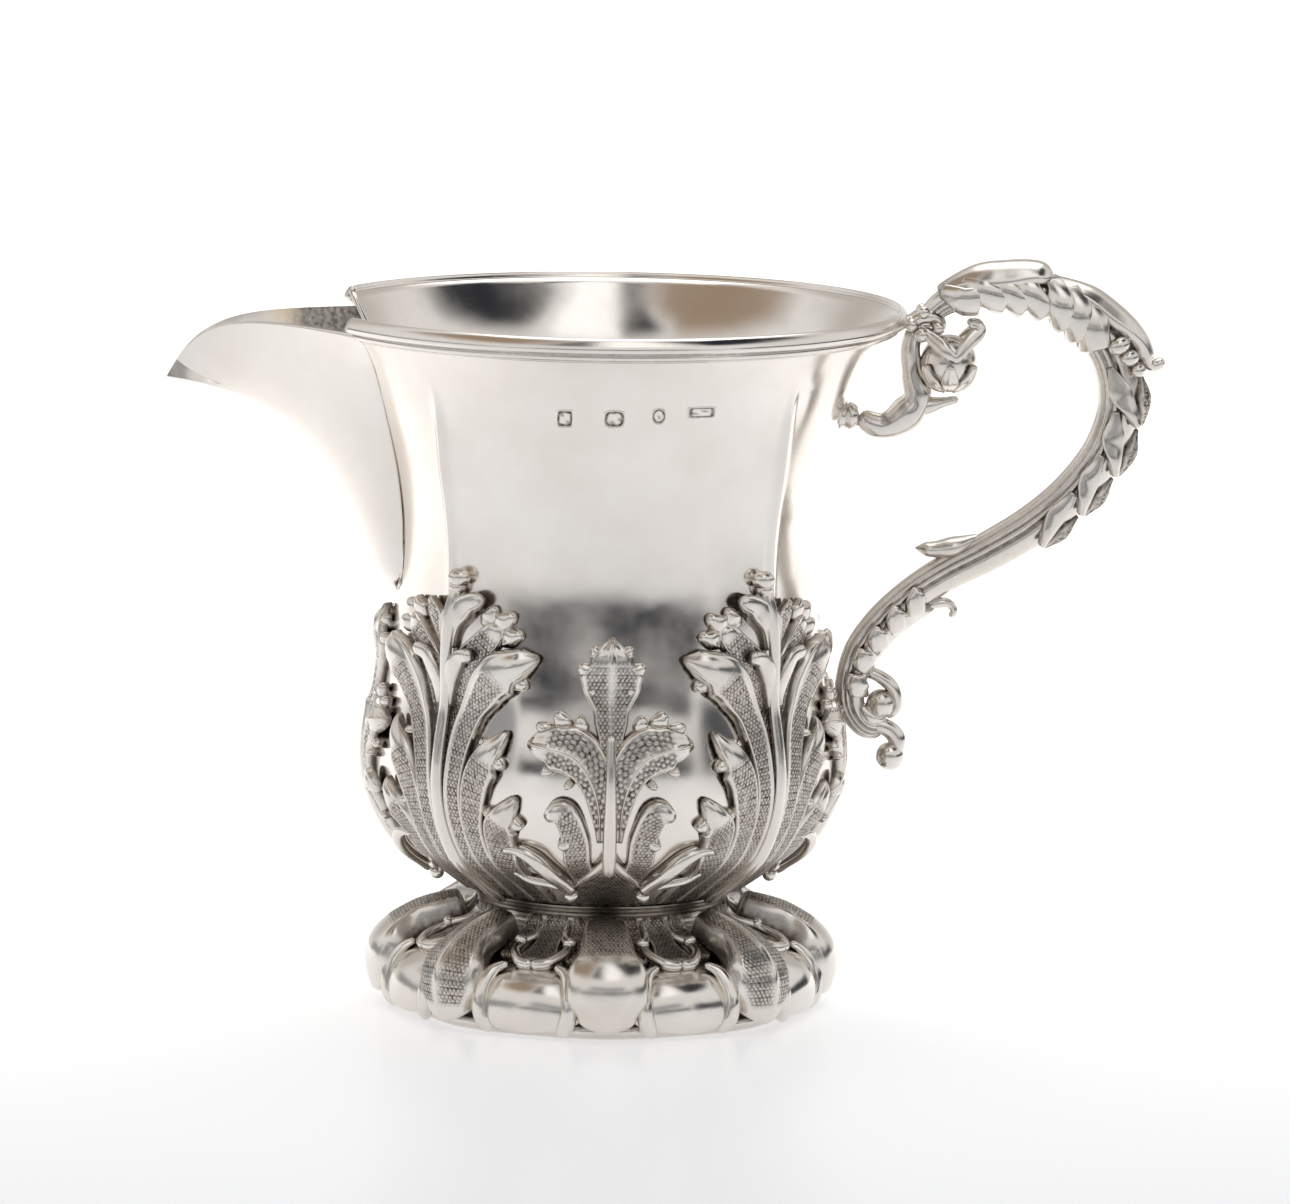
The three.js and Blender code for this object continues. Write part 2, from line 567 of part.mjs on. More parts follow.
/** A leaf laid over the outside of the stem: a cupped plate that wraps round it. */
function overlay(pairs, halfDepth, thickness, rings = 8) {
  const path = curveThrough(pairs);
  return solid(new THREE.BoxGeometry(1, 1, 1, 6, rings, 1), (p) => {
    const t = p.y + 0.5;
    const at = path.getPointAt(t);
    const along = path.getTangentAt(t);
    const wrap = p.x * Math.PI * 0.8;
    const half = halfDepth(t);
    const reach = half + (p.z > 0 ? thickness : 0);
    const out = reach * Math.cos(wrap) - half;
    return onHandle(at.x - along.y * out, at.y + along.x * out, reach * Math.sin(wrap));
  });
}

const stemOutside = STEM_WIDTH / 2 + CLEARANCE;
const atStem = curveThrough(stemPath);

/** Points beside the stem's centre line, from one share of its length to another, at a distance outside it. */
function besideStem(from, to, distance, steps = 5) {
  const points = [];
  for (let i = 0; i <= steps; i += 1) {
    const t = lerp(from, to, i / steps);
    const at = atStem.getPointAt(t);
    const along = atStem.getTangentAt(t);
    points.push([at.x - along.y * distance(i / steps), at.y + along.x * distance(i / steps)]);
  }
  return points;
}

const leafDepth = taper([[0, 0.7], [0.4, 1], [0.8, 1], [1, 0.5]]);
const overStem = (share) => () => stemOutside * share;
const leafHalfDepth = (t) => leafDepth(t) * (STEM_DEPTH / 2 + CLEARANCE + 0.4);
piece("handle_top_leaf", overlay(besideStem(0.065, 0.185, overStem(1)), leafHalfDepth, 1.1), cast);
piece("handle_crown_leaf", overlay(besideStem(0.2, 0.335, overStem(1.05)), leafHalfDepth, 1.3), cast);
const spur = [[78, 93.6], [78.8, 93.5], [79.6, 93.8]];
piece("handle_spur", drop(spur, taper([[0, 0.7], [0.5, 0.8], [1, 0.5]]), 1.4), cast);

const HUSKS = 4;
for (let i = 0; i < HUSKS; i += 1) {
  const from = 0.344 + i * 0.062;
  const path = besideStem(from, from + 0.054, (t) => stemOutside + 0.9 + 0.5 * t, 3);
  piece(`handle_husk_${i + 1}`, drop(path, taper([[0, 0.6], [0.35, 0.95], [1, 0.7]]), 2), cast);
}

const thorn = [[49.6, 68.3], [46.6, 67.2], [43.9, 65.6]];
piece("handle_thorn", drop(thorn, taper([[0, 0.9], [0.4, 0.8], [1, 0.3]]), 1.4), cast);
const lowerLeaf = [[42.8, 54.6], [46.5, 56.3], [49.6, 57.9]];
piece("handle_lower_leaf", drop(lowerLeaf, taper([[0, 0.8], [0.7, 0.9], [1, 1]]), 1.8), cast);
const volute = [[39.5, 46.2], [39.8, 43.9], [39.8, 41.7]];
piece("handle_volute", drop(volute, taper([[0, 1.6], [0.5, 2.1], [1, 1.6]]), 1.3), cast);
const tail = [[41, 39], [41.9, 38], [41.2, 36.2], [40.3, 34.4]];
piece("handle_tail", drop(tail, taper([[0, 0.8], [0.35, 1], [0.72, TAIL_BALL_RADIUS], [1, 1.4]]), 1, 8), cast);

const bud = [[49.1, 96.9], [48.5, 93.1], [48, 89.1]];
piece("handle_bud", drop(bud, taper([[0, 2.6], [0.5, BUD_RADIUS], [1, 2.4]]), 0.95, 8), cast);
const branch = [[43.5, 94.6], [43.6, 91.4], [43.7, 88.5], [41.9, 85.5], [39.1, 84.2], [36.3, 85.2]];
piece("handle_branch", drop(branch, taper([[0, 0.8], [0.3, 1.1], [0.7, 1.6], [1, 1.2]]), 1.1, 10), cast);
const jointLeaf = [[43.3, 96.4], [43.5, 95.7], [43.5, 95.1]];
piece("handle_rim_leaf", drop(jointLeaf, taper([[0, 0.8], [0.5, 0.9], [1, 0.5]]), 2), cast);

/** A round collar on the body's wall, with its axis along X. */
function collar(height, radius, length) {
  const start = bodyRadiusAt(height) + CLEARANCE;
  const ring = new THREE.CylinderGeometry(1, 1, 1, 16, 4);
  return solid(ring, (p) => {
    const t = p.y + 0.5;
    const swell = radius * (1 - 0.22 * t - 0.1 * Math.sin(2 * Math.PI * t) ** 2);
    const up = p.z * swell;
    const lean = (bodyRadiusAt(height + up) - bodyRadiusAt(height)) * (1 - t);
    const curve = (p.x * swell) ** 2 / (2 * start) * (1 - t);
    return vec(start + t * length + lean - curve, p.x * swell, height + up);
  });
}
piece("handle_upper_collar", collar(UPPER_JOINT_HEIGHT, 2.1, 2.2), cast);
piece("handle_lower_collar", collar(LOWER_JOINT_HEIGHT + 0.6, 2.2, 1.4), cast);

// ---------------------------------------------------------------- the whole, with its origin moved
const size = new THREE.Box3().setFromObject(jug);
const middle = size.getCenter(vec());
jug.position.set(-middle.x, -middle.y, -size.min.z);
const part = new THREE.Group();
part.add(jug);

export default part;
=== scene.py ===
"""The looks of a silver cream jug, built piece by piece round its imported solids.

Sizes are in millimetres from the jug's own axis and the table it stands on, until a piece is finished,
when it is moved to the row frame and turned to metres. The spout points to -X and the front faces -Y.
"""
import logging
import math
from dataclasses import dataclass, field, replace
from enum import Enum
from typing import Callable, Sequence

import bmesh
import bpy
import numpy as np
from mathutils import Matrix, Vector


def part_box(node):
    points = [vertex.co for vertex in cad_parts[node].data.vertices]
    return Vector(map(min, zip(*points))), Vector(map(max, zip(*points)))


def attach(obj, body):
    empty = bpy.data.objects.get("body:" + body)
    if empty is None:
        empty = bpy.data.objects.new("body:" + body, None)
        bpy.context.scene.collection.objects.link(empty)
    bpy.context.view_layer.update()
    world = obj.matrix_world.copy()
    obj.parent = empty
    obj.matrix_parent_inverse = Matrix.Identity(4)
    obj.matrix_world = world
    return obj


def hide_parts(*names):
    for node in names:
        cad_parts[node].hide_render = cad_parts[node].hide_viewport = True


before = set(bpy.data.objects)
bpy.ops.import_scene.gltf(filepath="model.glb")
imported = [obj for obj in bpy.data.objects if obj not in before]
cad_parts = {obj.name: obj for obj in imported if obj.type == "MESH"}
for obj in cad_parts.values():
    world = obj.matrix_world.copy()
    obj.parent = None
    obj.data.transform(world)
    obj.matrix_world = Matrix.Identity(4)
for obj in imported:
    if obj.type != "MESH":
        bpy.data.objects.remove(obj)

Pairs = Sequence[tuple[float, float]]
Shape = Callable[[np.ndarray, np.ndarray], tuple[np.ndarray, np.ndarray]]
Place = Callable[[np.ndarray, np.ndarray, np.ndarray], np.ndarray]

MM = 0.001
SAMPLES = 24  # points drawn on a curve between two given ones
ROW_GAP = 0.87  # from one row of beads to the next, as a share of their pitch
BEAD_RADIUS = 0.46  # as a share of their pitch
log = logging.getLogger("jug")


class Slot(Enum):
    """The record's material slots."""

    POLISHED = "polished_silver"
    CAST = "cast_silver"
    MATTED = "matted_silver"


# ---------------------------------------------------------------- small sums
def smooth(x: np.ndarray, low: float, high: float) -> np.ndarray:
    """A soft step from 0 at low to 1 at high."""
    t = np.clip((np.asarray(x, float) - low) / (high - low), 0, 1)
    return t * t * (3 - 2 * t)


def mix(a: np.ndarray, b: np.ndarray, t: np.ndarray) -> np.ndarray:
    """The value a share t of the way from a to b."""
    return a + (b - a) * t


def bump(x: np.ndarray, middle: float, width: float) -> np.ndarray:
    """A bell of height 1 about a middle."""
    return np.exp(-(((np.asarray(x, float) - middle) / width) ** 2))


def ramp(value: float, low: float, high: float) -> float:
    """A straight step from 0 at low to 1 at high."""
    return min(1.0, max(0.0, (value - low) / (high - low)))


def taper(pairs: Pairs, t: np.ndarray) -> np.ndarray:
    """Reads a smooth run of values.

    Args:
        pairs: (position, value) pairs, with positions rising from 0 to 1.
        t: positions to read at.

    Returns:
        The values, joined by soft steps.
    """
    t = np.clip(np.asarray(t, float), pairs[0][0], pairs[-1][0])
    value = np.full_like(t, pairs[0][1])
    for (t0, v0), (t1, v1) in zip(pairs, pairs[1:]):
        value += (v1 - v0) * smooth(t, t0, t1)
    return value


class Line:
    """A smooth curve through points in a plane, read by its share of length."""

    def __init__(self, points: Sequence[tuple[float, float]]) -> None:
        """Samples a centripetal curve through the points.

        Args:
            points: the points that it runs through, in order.
        """
        given = [np.array(p, float) for p in points]
        run = [2 * given[0] - given[1], *given, 2 * given[-1] - given[-2]]
        steps = np.linspace(0, 1, SAMPLES, endpoint=False)[:, None]
        pieces = []
        for p0, p1, p2, p3 in zip(run, run[1:], run[2:], run[3:]):
            spans = [float(np.linalg.norm(b - a)) for a, b in ((p0, p1), (p1, p2), (p2, p3))]
            d0, d1, d2 = (max(span**0.5, 1e-4) for span in spans)
            m1 = ((p1 - p0) / d0 - (p2 - p0) / (d0 + d1) + (p2 - p1) / d1) * d1
            m2 = ((p2 - p1) / d1 - (p3 - p1) / (d1 + d2) + (p3 - p2) / d2) * d1
            a = 2 * p1 - 2 * p2 + m1 + m2
            b = -3 * p1 + 3 * p2 - 2 * m1 - m2
            pieces.append(((a * steps + b) * steps + m1) * steps + p1)
        self.points = np.vstack([*pieces, given[-1][None]])
        gaps = np.linalg.norm(np.diff(self.points, axis=0), axis=1)
        self.run = np.concatenate([[0], np.cumsum(gaps)])
        self.length = float(self.run[-1])

    def at(self, t: np.ndarray) -> np.ndarray:
        """Points at shares t of the length."""
        s = np.clip(t, 0, 1) * self.length
        return np.stack([np.interp(s, self.run, self.points[:, i]) for i in (0, 1)], axis=-1)

    def slope(self, t: np.ndarray) -> np.ndarray:
        """Reads the curve's direction.

        Args:
            t: shares of the length.

        Returns:
            A unit vector for each share.
        """
        step = 0.004
        t = np.clip(np.asarray(t, float), step, 1 - step)
        way = self.at(t + step) - self.at(t - step)
        return way / np.maximum(np.linalg.norm(way, axis=-1, keepdims=True), 1e-9)


def ring_points(radius: np.ndarray, angle: np.ndarray, height: np.ndarray) -> np.ndarray:
    """Points round the jug's axis."""
    return np.stack([radius * np.cos(angle), radius * np.sin(angle), height], axis=-1)


def beads(across: np.ndarray, along: np.ndarray, pitch: float) -> np.ndarray:
    """Draws rows of round punched beads, each row set half a bead over from the last.

    Args:
        across: mm along a row.
        along: mm from row to row.
        pitch: mm between beads.

    Returns:
        The height, from 1 on top of a bead to 0 between beads.
    """
    row = along / (pitch * ROW_GAP)
    shifted = across / pitch + 0.5 * np.mod(np.floor(row), 2)
    dx = shifted - np.floor(shifted) - 0.5
    dy = (row - np.floor(row) - 0.5) * ROW_GAP
    return np.sqrt(np.clip(1 - (dx**2 + dy**2) / BEAD_RADIUS**2, 0, 1))


# ---------------------------------------------------------------- finishes
def linear(code: str) -> tuple[float, float, float, float]:
    """The linear colour of an sRGB hex code."""
    parts = [int(code[i : i + 2], 16) / 255 for i in (1, 3, 5)]
    return (*(c / 12.92 if c <= 0.04045 else ((c + 0.055) / 1.055) ** 2.4 for c in parts), 1.0)


def add_node(tree: bpy.types.NodeTree, kind: str, settings: dict[str, object] | None = None,
             **inputs: object) -> bpy.types.Node:
    """Adds a node.

    Args:
        tree: the tree to add to.
        kind: the node's type name, without "ShaderNode".
        settings: attributes to set on the node.
        inputs: a value or a socket for each input, by its name with _ for spaces, or by _ and its number.

    Returns:
        The node.
    """
    node = tree.nodes.new("ShaderNode" + kind)
    for key, value in (settings or {}).items():
        setattr(node, key, value)
    for key, value in inputs.items():
        socket = node.inputs[int(key[1:])] if key[0] == "_" else node.inputs[key.replace("_", " ")]
        if isinstance(value, bpy.types.NodeSocket):
            tree.links.new(value, socket)
        else:
            socket.default_value = value
    return node


@dataclass(frozen=True)
class SilverFinish:
    """Sterling silver with old polish: warm grey, turned brown where its attribute paints tarnish left where
    a cloth can't reach, mixed with painted shade in recesses and under parts.
    """

    name: str
    bright: str = "#F4F1ED"
    patina: str = "#E3DAD0"
    # a brown that stands for both tarnish and painted shade
    tarnish_and_shade: str = "#4A3B2E"
    roughness: float = 0.1
    worn_roughness: float = 0.22
    cloud_mm: float = 14.0  # from one duller patch to the next
    speck_mm: float = 0.8  # the grain of the tarnish and painted shade
    scratch_mm: float = 0.25  # between polishing scratches, drawn coarser than real ones so that they show
    hammer_mm: float = 9.0  # width of the soft dents that hand work leaves
    hammer_depth: float = 0.1
    scratch_depth: float = 0.02
    gilt: str = ""

    def material(self) -> bpy.types.Material:
        """Builds the material, or finds it if it is built.

        Returns:
            The material.
        """
        if self.name in bpy.data.materials:
            return bpy.data.materials[self.name]
        made = bpy.data.materials.new(self.name)
        made.use_nodes = True
        tree = made.node_tree
        shader = tree.nodes["Principled BSDF"]
        shader.inputs["Metallic"].default_value = 1.0
        place = add_node(tree, "TexCoord").outputs["Object"]
        # The attribute paints tarnish and shade together: brown in recesses, grooves, between beads and under
        # parts.
        stain_and_shade = add_node(tree, "Attribute", {"attribute_name": "tarnish_and_shade"}).outputs["Fac"]

        cloud = add_node(tree, "TexNoise", Vector=place, Scale=1 / (self.cloud_mm * MM), Detail=4.0,
                         Roughness=0.6)
        colour = add_node(tree, "Mix", {"data_type": "RGBA"}, _0=cloud.outputs["Fac"],
                          _6=linear(self.patina), _7=linear(self.bright)).outputs[2]
        if self.gilt:
            worn = add_node(tree, "Attribute", {"attribute_name": "gilt"}).outputs["Fac"]
            colour = add_node(tree, "Mix", {"data_type": "RGBA"}, _0=worn, _6=colour,
                              _7=linear(self.gilt)).outputs[2]
        speck = add_node(tree, "TexNoise", Vector=place, Scale=1 / (self.speck_mm * MM), Detail=3.0)
        uneven = add_node(tree, "MapRange", _0=speck.outputs["Fac"], _1=0.25, _2=0.75, _3=0.55,
                          _4=1.25).outputs[0]
        held = add_node(tree, "Math", {"operation": "MULTIPLY", "use_clamp": True}, _0=stain_and_shade,
                        _1=uneven).outputs[0]
        colour = add_node(tree, "Mix", {"data_type": "RGBA"}, _0=held, _6=colour,
                          _7=linear(self.tarnish_and_shade)).outputs[2]
        tree.links.new(colour, shader.inputs["Base Color"])

        dull = add_node(tree, "MapRange", _0=cloud.outputs["Fac"], _1=0.3, _2=0.7, _3=self.worn_roughness,
                        _4=self.roughness).outputs[0]
        dull = add_node(tree, "Mix", _0=held, _2=dull, _3=0.5).outputs[0]
        tree.links.new(dull, shader.inputs["Roughness"])

        dents = add_node(tree, "TexNoise", Vector=place, Scale=1 / (self.hammer_mm * MM), Detail=1.5)
        softened = add_node(tree, "Bump", Strength=self.hammer_depth, Distance=1.0 * MM,
                            Height=dents.outputs["Fac"])
        lines = add_node(tree, "Mapping", Vector=place, Scale=(1.0, 1.0, 0.12), Rotation=(0.2, 0.35, 0.4))
        scratch = add_node(tree, "TexNoise", Vector=lines.outputs[0], Scale=1 / (self.scratch_mm * MM),
                           Detail=2.0)
        fine = add_node(tree, "Bump", Strength=self.scratch_depth, Distance=0.1 * MM,
                        Height=scratch.outputs["Fac"], Normal=softened.outputs[0])
        tree.links.new(fine.outputs[0], shader.inputs["Normal"])
        return made


# Raised sheet, polished with rouge: the clearest reflections, with soft dents from the hammer.
SHEET = SilverFinish("polished_sterling_sheet", gilt="#D9B26A")
# Cast and chased ornament: burnished on top, and darker below with tarnish and painted shade.
CASTING = SilverFinish("cast_sterling", bright="#F2EFEA", patina="#DED6CC", hammer_mm=4.0, hammer_depth=0.05,
                       roughness=0.13, worn_roughness=0.24)
# Ground that was punched all over with a matting tool, so that it shines only in specks.
GROUND = SilverFinish("matted_sterling", bright="#E9E4DD", patina="#D2C8BC", roughness=0.2,
                      worn_roughness=0.36, hammer_mm=3.0)


# ---------------------------------------------------------------- work in hand
BALL_STAIN = 0.1  # balls are burnished, so they are nearly clean


class Workpiece:
    """A piece under way: a mesh in millimetres that keeps how much tarnish and painted shade each of its
    points has.
    """

    def __init__(self) -> None:
        """Starts with an empty mesh."""
        self.mesh = bmesh.new()
        # from 0, clean and lit, to 1, dark brown with tarnish and painted shade
        self.stain_and_shade = self.mesh.verts.layers.float.new("tarnish_and_shade")
        self.gilt = self.mesh.verts.layers.float.new("gilt")

    def sheet(self, columns: int, rows: int, shape: Shape, close: bool = True) -> list[bmesh.types.BMVert]:
        """Adds a flat grid and forms it.

        Args:
            columns: faces across.
            rows: faces up.
            shape: turns shares across and up into points and their tarnish and painted shade.
            close: whether points that meet are joined.

        Returns:
            The grid's points.
        """
        made = bmesh.ops.create_grid(self.mesh, x_segments=columns, y_segments=rows, size=0.5)["verts"]
        flat = np.array([v.co for v in made], float)
        points, stains_and_shade = shape(np.round(flat[:, 0] + 0.5, 6), np.round(flat[:, 1] + 0.5, 6))
        stains_and_shade = np.broadcast_to(stains_and_shade, len(made))
        for vert, point, stain_and_shade in zip(made, points.tolist(), stains_and_shade.tolist()):
            vert.co = point
            vert[self.stain_and_shade] = stain_and_shade
        if close:
            bmesh.ops.remove_doubles(self.mesh, verts=made, dist=2e-3)
        return [v for v in made if v.is_valid]

    def ball(self, place: Place, at: tuple[float, float, float], radius: float, fineness: int = 14) -> None:
        """Adds a small ball on a surface.

        Args:
            place: the surface.
            at: its middle, in mm round, along and off the surface.
            radius: its radius in mm.
            fineness: faces round it.
        """
        rings = fineness // 2 + 2
        made = bmesh.ops.create_uvsphere(self.mesh, u_segments=fineness, v_segments=rings,
                                         radius=1.0)["verts"]
        flat = np.array([v.co for v in made], float) * radius
        points = place(at[0] + flat[:, 0], at[1] + flat[:, 1], at[2] + flat[:, 2])
        for vert, point in zip(made, points.tolist()):
            vert.co = point
            vert[self.stain_and_shade] = BALL_STAIN

    def copy(self, move: Matrix) -> "Workpiece":
        """Makes a second piece like this one.

        Args:
            move: how it is turned or mirrored about the jug's axis.

        Returns:
            The second piece.
        """
        other = Workpiece.__new__(Workpiece)
        other.mesh = self.mesh.copy()
        other.stain_and_shade = other.mesh.verts.layers.float["tarnish_and_shade"]
        other.gilt = other.mesh.verts.layers.float["gilt"]
        bmesh.ops.transform(other.mesh, matrix=move, verts=other.mesh.verts[:])
        return other

    def finish(self, name: str, finish: SilverFinish, slot: Slot, *nodes: str) -> bpy.types.Object:
        """Turns the work into a finished object in the row frame.

        Args:
            name: the piece's name.
            finish: what it is dressed in.
            slot: not used.
            nodes: the solids it stands for.

        Returns:
            The object.
        """
        mesh = self.mesh
        to_row = Matrix.Translation((AXIS_X, 0, 0)) @ Matrix.Scale(MM, 4)
        bmesh.ops.transform(mesh, matrix=to_row, verts=mesh.verts[:])
        bmesh.ops.recalc_face_normals(mesh, faces=mesh.faces[:])
        for face in mesh.faces:
            face.smooth = True
        data = bpy.data.meshes.new(name)
        mesh.to_mesh(data)
        mesh.free()
        made = bpy.data.objects.new(name, data)
        bpy.context.scene.collection.objects.link(made)
        data.materials.append(finish.material())
        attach(made, "root")
        if nodes:
            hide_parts(*nodes)
        log.info("%s: %d faces for %s", name, len(data.polygons), ", ".join(nodes) or "no solid")
        return made


RING_LOW, RING_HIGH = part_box("foot_ring")
AXIS_X = (RING_LOW.x + RING_HIGH.x) / 2  # the jug's axis in the row frame, in metres
MIRROR_X = Matrix.Scale(-1, 4, Vector((1, 0, 0)))
MIRROR_Y = Matrix.Scale(-1, 4, Vector((0, 1, 0)))
HALF_TURN = Matrix.Rotation(math.pi, 4, "Z")
TOP_SHARE = 0.8  # of the faces across a lobe, the share on its upper side
ARCHED = 1.45  # how much longer the way over a lobe is than straight across
EDGE_AT, EDGE_WIDTH = 0.84, 0.14  # where a rolled edge lies between middle and rim, and how broad it is
VEIN_WIDTH = 0.1
VEIN_CLEAR = 0.14  # half the width that beads leave clear along a vein
BEAD_RISE = 0.2  # of beads, as a share of their pitch
BEAD_SINK = 0.6  # the share of a bead that lies below the lobe's own surface


@dataclass(frozen=True)
class Lobe:
    """One lobe of a leaf, drawn flat on a surface and raised from it.

    Its edges can be rolled, its middle veined or hollowed, and its field punched with rows of beads.
    """

    path: Pairs
    left: Pairs
    right: Pairs
    lift: Pairs = ((0, 0.5), (1, 1.0))
    rim: float = 0.28
    vein: float = 0.0
    crown: Pairs = ((0, 0.0), (1, 0.3))
    pitch: float = 0.0  # between beads; 0 leaves the lobe smooth
    field: tuple[float, float] = (-0.72, 0.72)  # how far across the beads reach
    reach: tuple[float, float] = (0.0, 0.9)  # how far along the beads reach
    thick: float = 0.9
    free_from: float = 0.55  # the share along from which the underside leaves the wall
    root: float = -0.3
    stain_and_shade: float = 0.1
    step: float = 0.2
    tip: float = 0.09

    def mirrored(self) -> "Lobe":
        """The same lobe on the other side of its leaf's middle."""
        path = tuple((-round_, along) for round_, along in self.path)
        return replace(self, path=path, left=self.right, right=self.left,
                       field=(-self.field[1], -self.field[0]))

    def add(self, work: Workpiece, place: Place) -> None:
        """Adds the lobe to a piece.

        Args:
            work: the piece under way.
            place: the surface it is drawn on.
        """
        line = Line(self.path)
        widest = max(w for _, w in self.left) + max(w for _, w in self.right)
        step = self.step if self.pitch else 1.4 * self.step  # a smooth lobe needs fewer faces
        columns = int(np.clip(widest * ARCHED / step / TOP_SHARE, 20, 130))
        rows = int(np.clip(line.length / step, 18, 320))

        def shape(q: np.ndarray, t: np.ndarray) -> tuple[np.ndarray, np.ndarray]:
            """Forms the closed section.

            Args:
                q: shares round the section, over the top and then back under it.
                t: shares along the lobe.

            Returns:
                The points and their tarnish and painted shade.
            """
            top = q <= TOP_SHARE
            v = np.where(top, -np.cos(np.pi * q / TOP_SHARE), 1 - 2 * (q - TOP_SHARE) / 0.2)
            tip = self.tip
            end = np.sqrt(np.clip(1 - np.clip((t - 1 + tip) / tip, 0, 1) ** 2, 0, 1))
            end = end * np.sqrt(np.clip(1 - np.clip((tip / 2 - t) / (tip / 2), 0, 1) ** 2, 0, 1))
            half = np.where(v < 0, taper(self.left, t), taper(self.right, t)) * end
            edge = np.abs(v)
            across = v * half
            along = t * line.length
            body = taper(self.lift, t)
            leaving = smooth(t, self.free_from, min(self.free_from + 0.25, 1.01))
            below = mix(self.root, body - self.thick, leaving)
            height = body + self.rim * bump(edge, EDGE_AT, EDGE_WIDTH) + taper(self.crown, t) * (1 - edge**2)
            height = height + self.vein * bump(v, 0.0, VEIN_WIDTH)
            # Painted shade with tarnish where the lobe's root sinks into the wall.
            stain_and_shade = self.stain_and_shade + 0.35 * (1 - smooth(t, 0, 0.25)) * (self.root < 0)
            if self.pitch:
                left, right = self.field
                start, stop = self.reach
                mask = smooth(v, left, left + 0.12) * (1 - smooth(v, right - 0.12, right))
                mask = mask * smooth(t, start, start + 0.03) * (1 - smooth(t, stop - 0.05, stop))
                if self.vein:
                    mask = mask * (1 - bump(v, 0.0, VEIN_CLEAR))
                dot = beads(across, along, self.pitch)
                height = height + BEAD_RISE * self.pitch * (dot - BEAD_SINK) * mask
                # Painted shade with tarnish between the beads.
                stain_and_shade = stain_and_shade + mask * (0.85 * (1 - dot) + 0.12)
            round_over = np.sqrt(np.clip(1 - edge**9, 0, 1)) * end
            height = below + (height - below) * round_over
            height = np.where(top, height, below)
            # Painted shade: darker where the edges roll under, and full dark on the underside.
            stain_and_shade = np.where(top, stain_and_shade + 0.75 * (1 - smooth(round_over, 0.0, 0.9)), 1.0)
            at, way = line.at(t), line.slope(t)
            points = place(at[:, 0] + way[:, 1] * across, at[:, 1] - way[:, 0] * across, height)
            return points, np.clip(stain_and_shade, 0, 1)

        work.sheet(columns, rows, shape)


def add_scallop(work: Workpiece, place: Place, at: tuple[float, float], way: tuple[float, float],
                size: float) -> None:
    """Adds one small plump point of a leaf's edge.

    Args:
        work: the piece under way.
        place: the surface it is drawn on.
        at: where its tip is, in mm round and along.
        way: which way it points, round and along.
        size: half its width in mm.
    """
    line = [(at[0] - k * way[0] * size, at[1] - k * way[1] * size) for k in (2.6, 1.2, 0.0)]
    half = ((0, 0.7 * size), (0.45, size), (1, 0.45 * size))
    Lobe(line, half, half, lift=((0, 0.6), (0.6, 1.1), (1, 1.2)), crown=((0, 0.1), (0.6, 0.6), (1, 0.4)),
         rim=0.0, free_from=0.6, thick=0.9, stain_and_shade=0.08, tip=0.2).add(work, place)


@dataclass(frozen=True)
class Bar:
    """A round or oval bar that follows a line, with rounded ends."""

    path: Pairs
    half: Pairs
    depth: float = 1.0
    lift: Pairs = ((0, 0.0), (1, 0.0))
    grooves: tuple[tuple[float, float, float], ...] = ()  # each one's place across, depth and width
    stain_and_shade: float = 0.12
    sides: int = 20
    step: float = 0.5
    ends: float = 0.06

    def add(self, work: Workpiece, place: Place) -> None:
        """Adds the bar to a piece.

        Args:
            work: the piece under way.
            place: the surface or plane it is drawn on.
        """
        line = Line(self.path)
        rows = int(np.clip(line.length / self.step, 10, 400))

        def shape(q: np.ndarray, t: np.ndarray) -> tuple[np.ndarray, np.ndarray]:
            """Forms the round section.

            Args:
                q: shares round the section.
                t: shares along the bar.

            Returns:
                The points and their tarnish and painted shade.
            """
            angle = 2 * np.pi * q
            near = np.minimum(t, 1 - t)
            end = np.sqrt(np.clip(1 - (1 - np.clip(near / self.ends, 0, 1)) ** 2, 0, 1))
            half = taper(self.half, t) * end
            c, s = np.cos(angle), np.sin(angle)
            cut = np.zeros_like(q)
            for middle, deep, width in self.grooves:
                cut = cut + deep * bump(c, middle, width)
            # Painted shade with tarnish down the grooves.
            stain_and_shade = self.stain_and_shade + 0.8 * np.clip(cut * 4, 0, 1)
            half = half * (1 - cut)
            at, way = line.at(t), line.slope(t)
            across = c * half
            points = place(at[:, 0] + way[:, 1] * across, at[:, 1] - way[:, 0] * across,
                           taper(self.lift, t) + s * half * self.depth)
            return points, np.clip(stain_and_shade, 0, 1)

        work.sheet(self.sides, rows, shape)


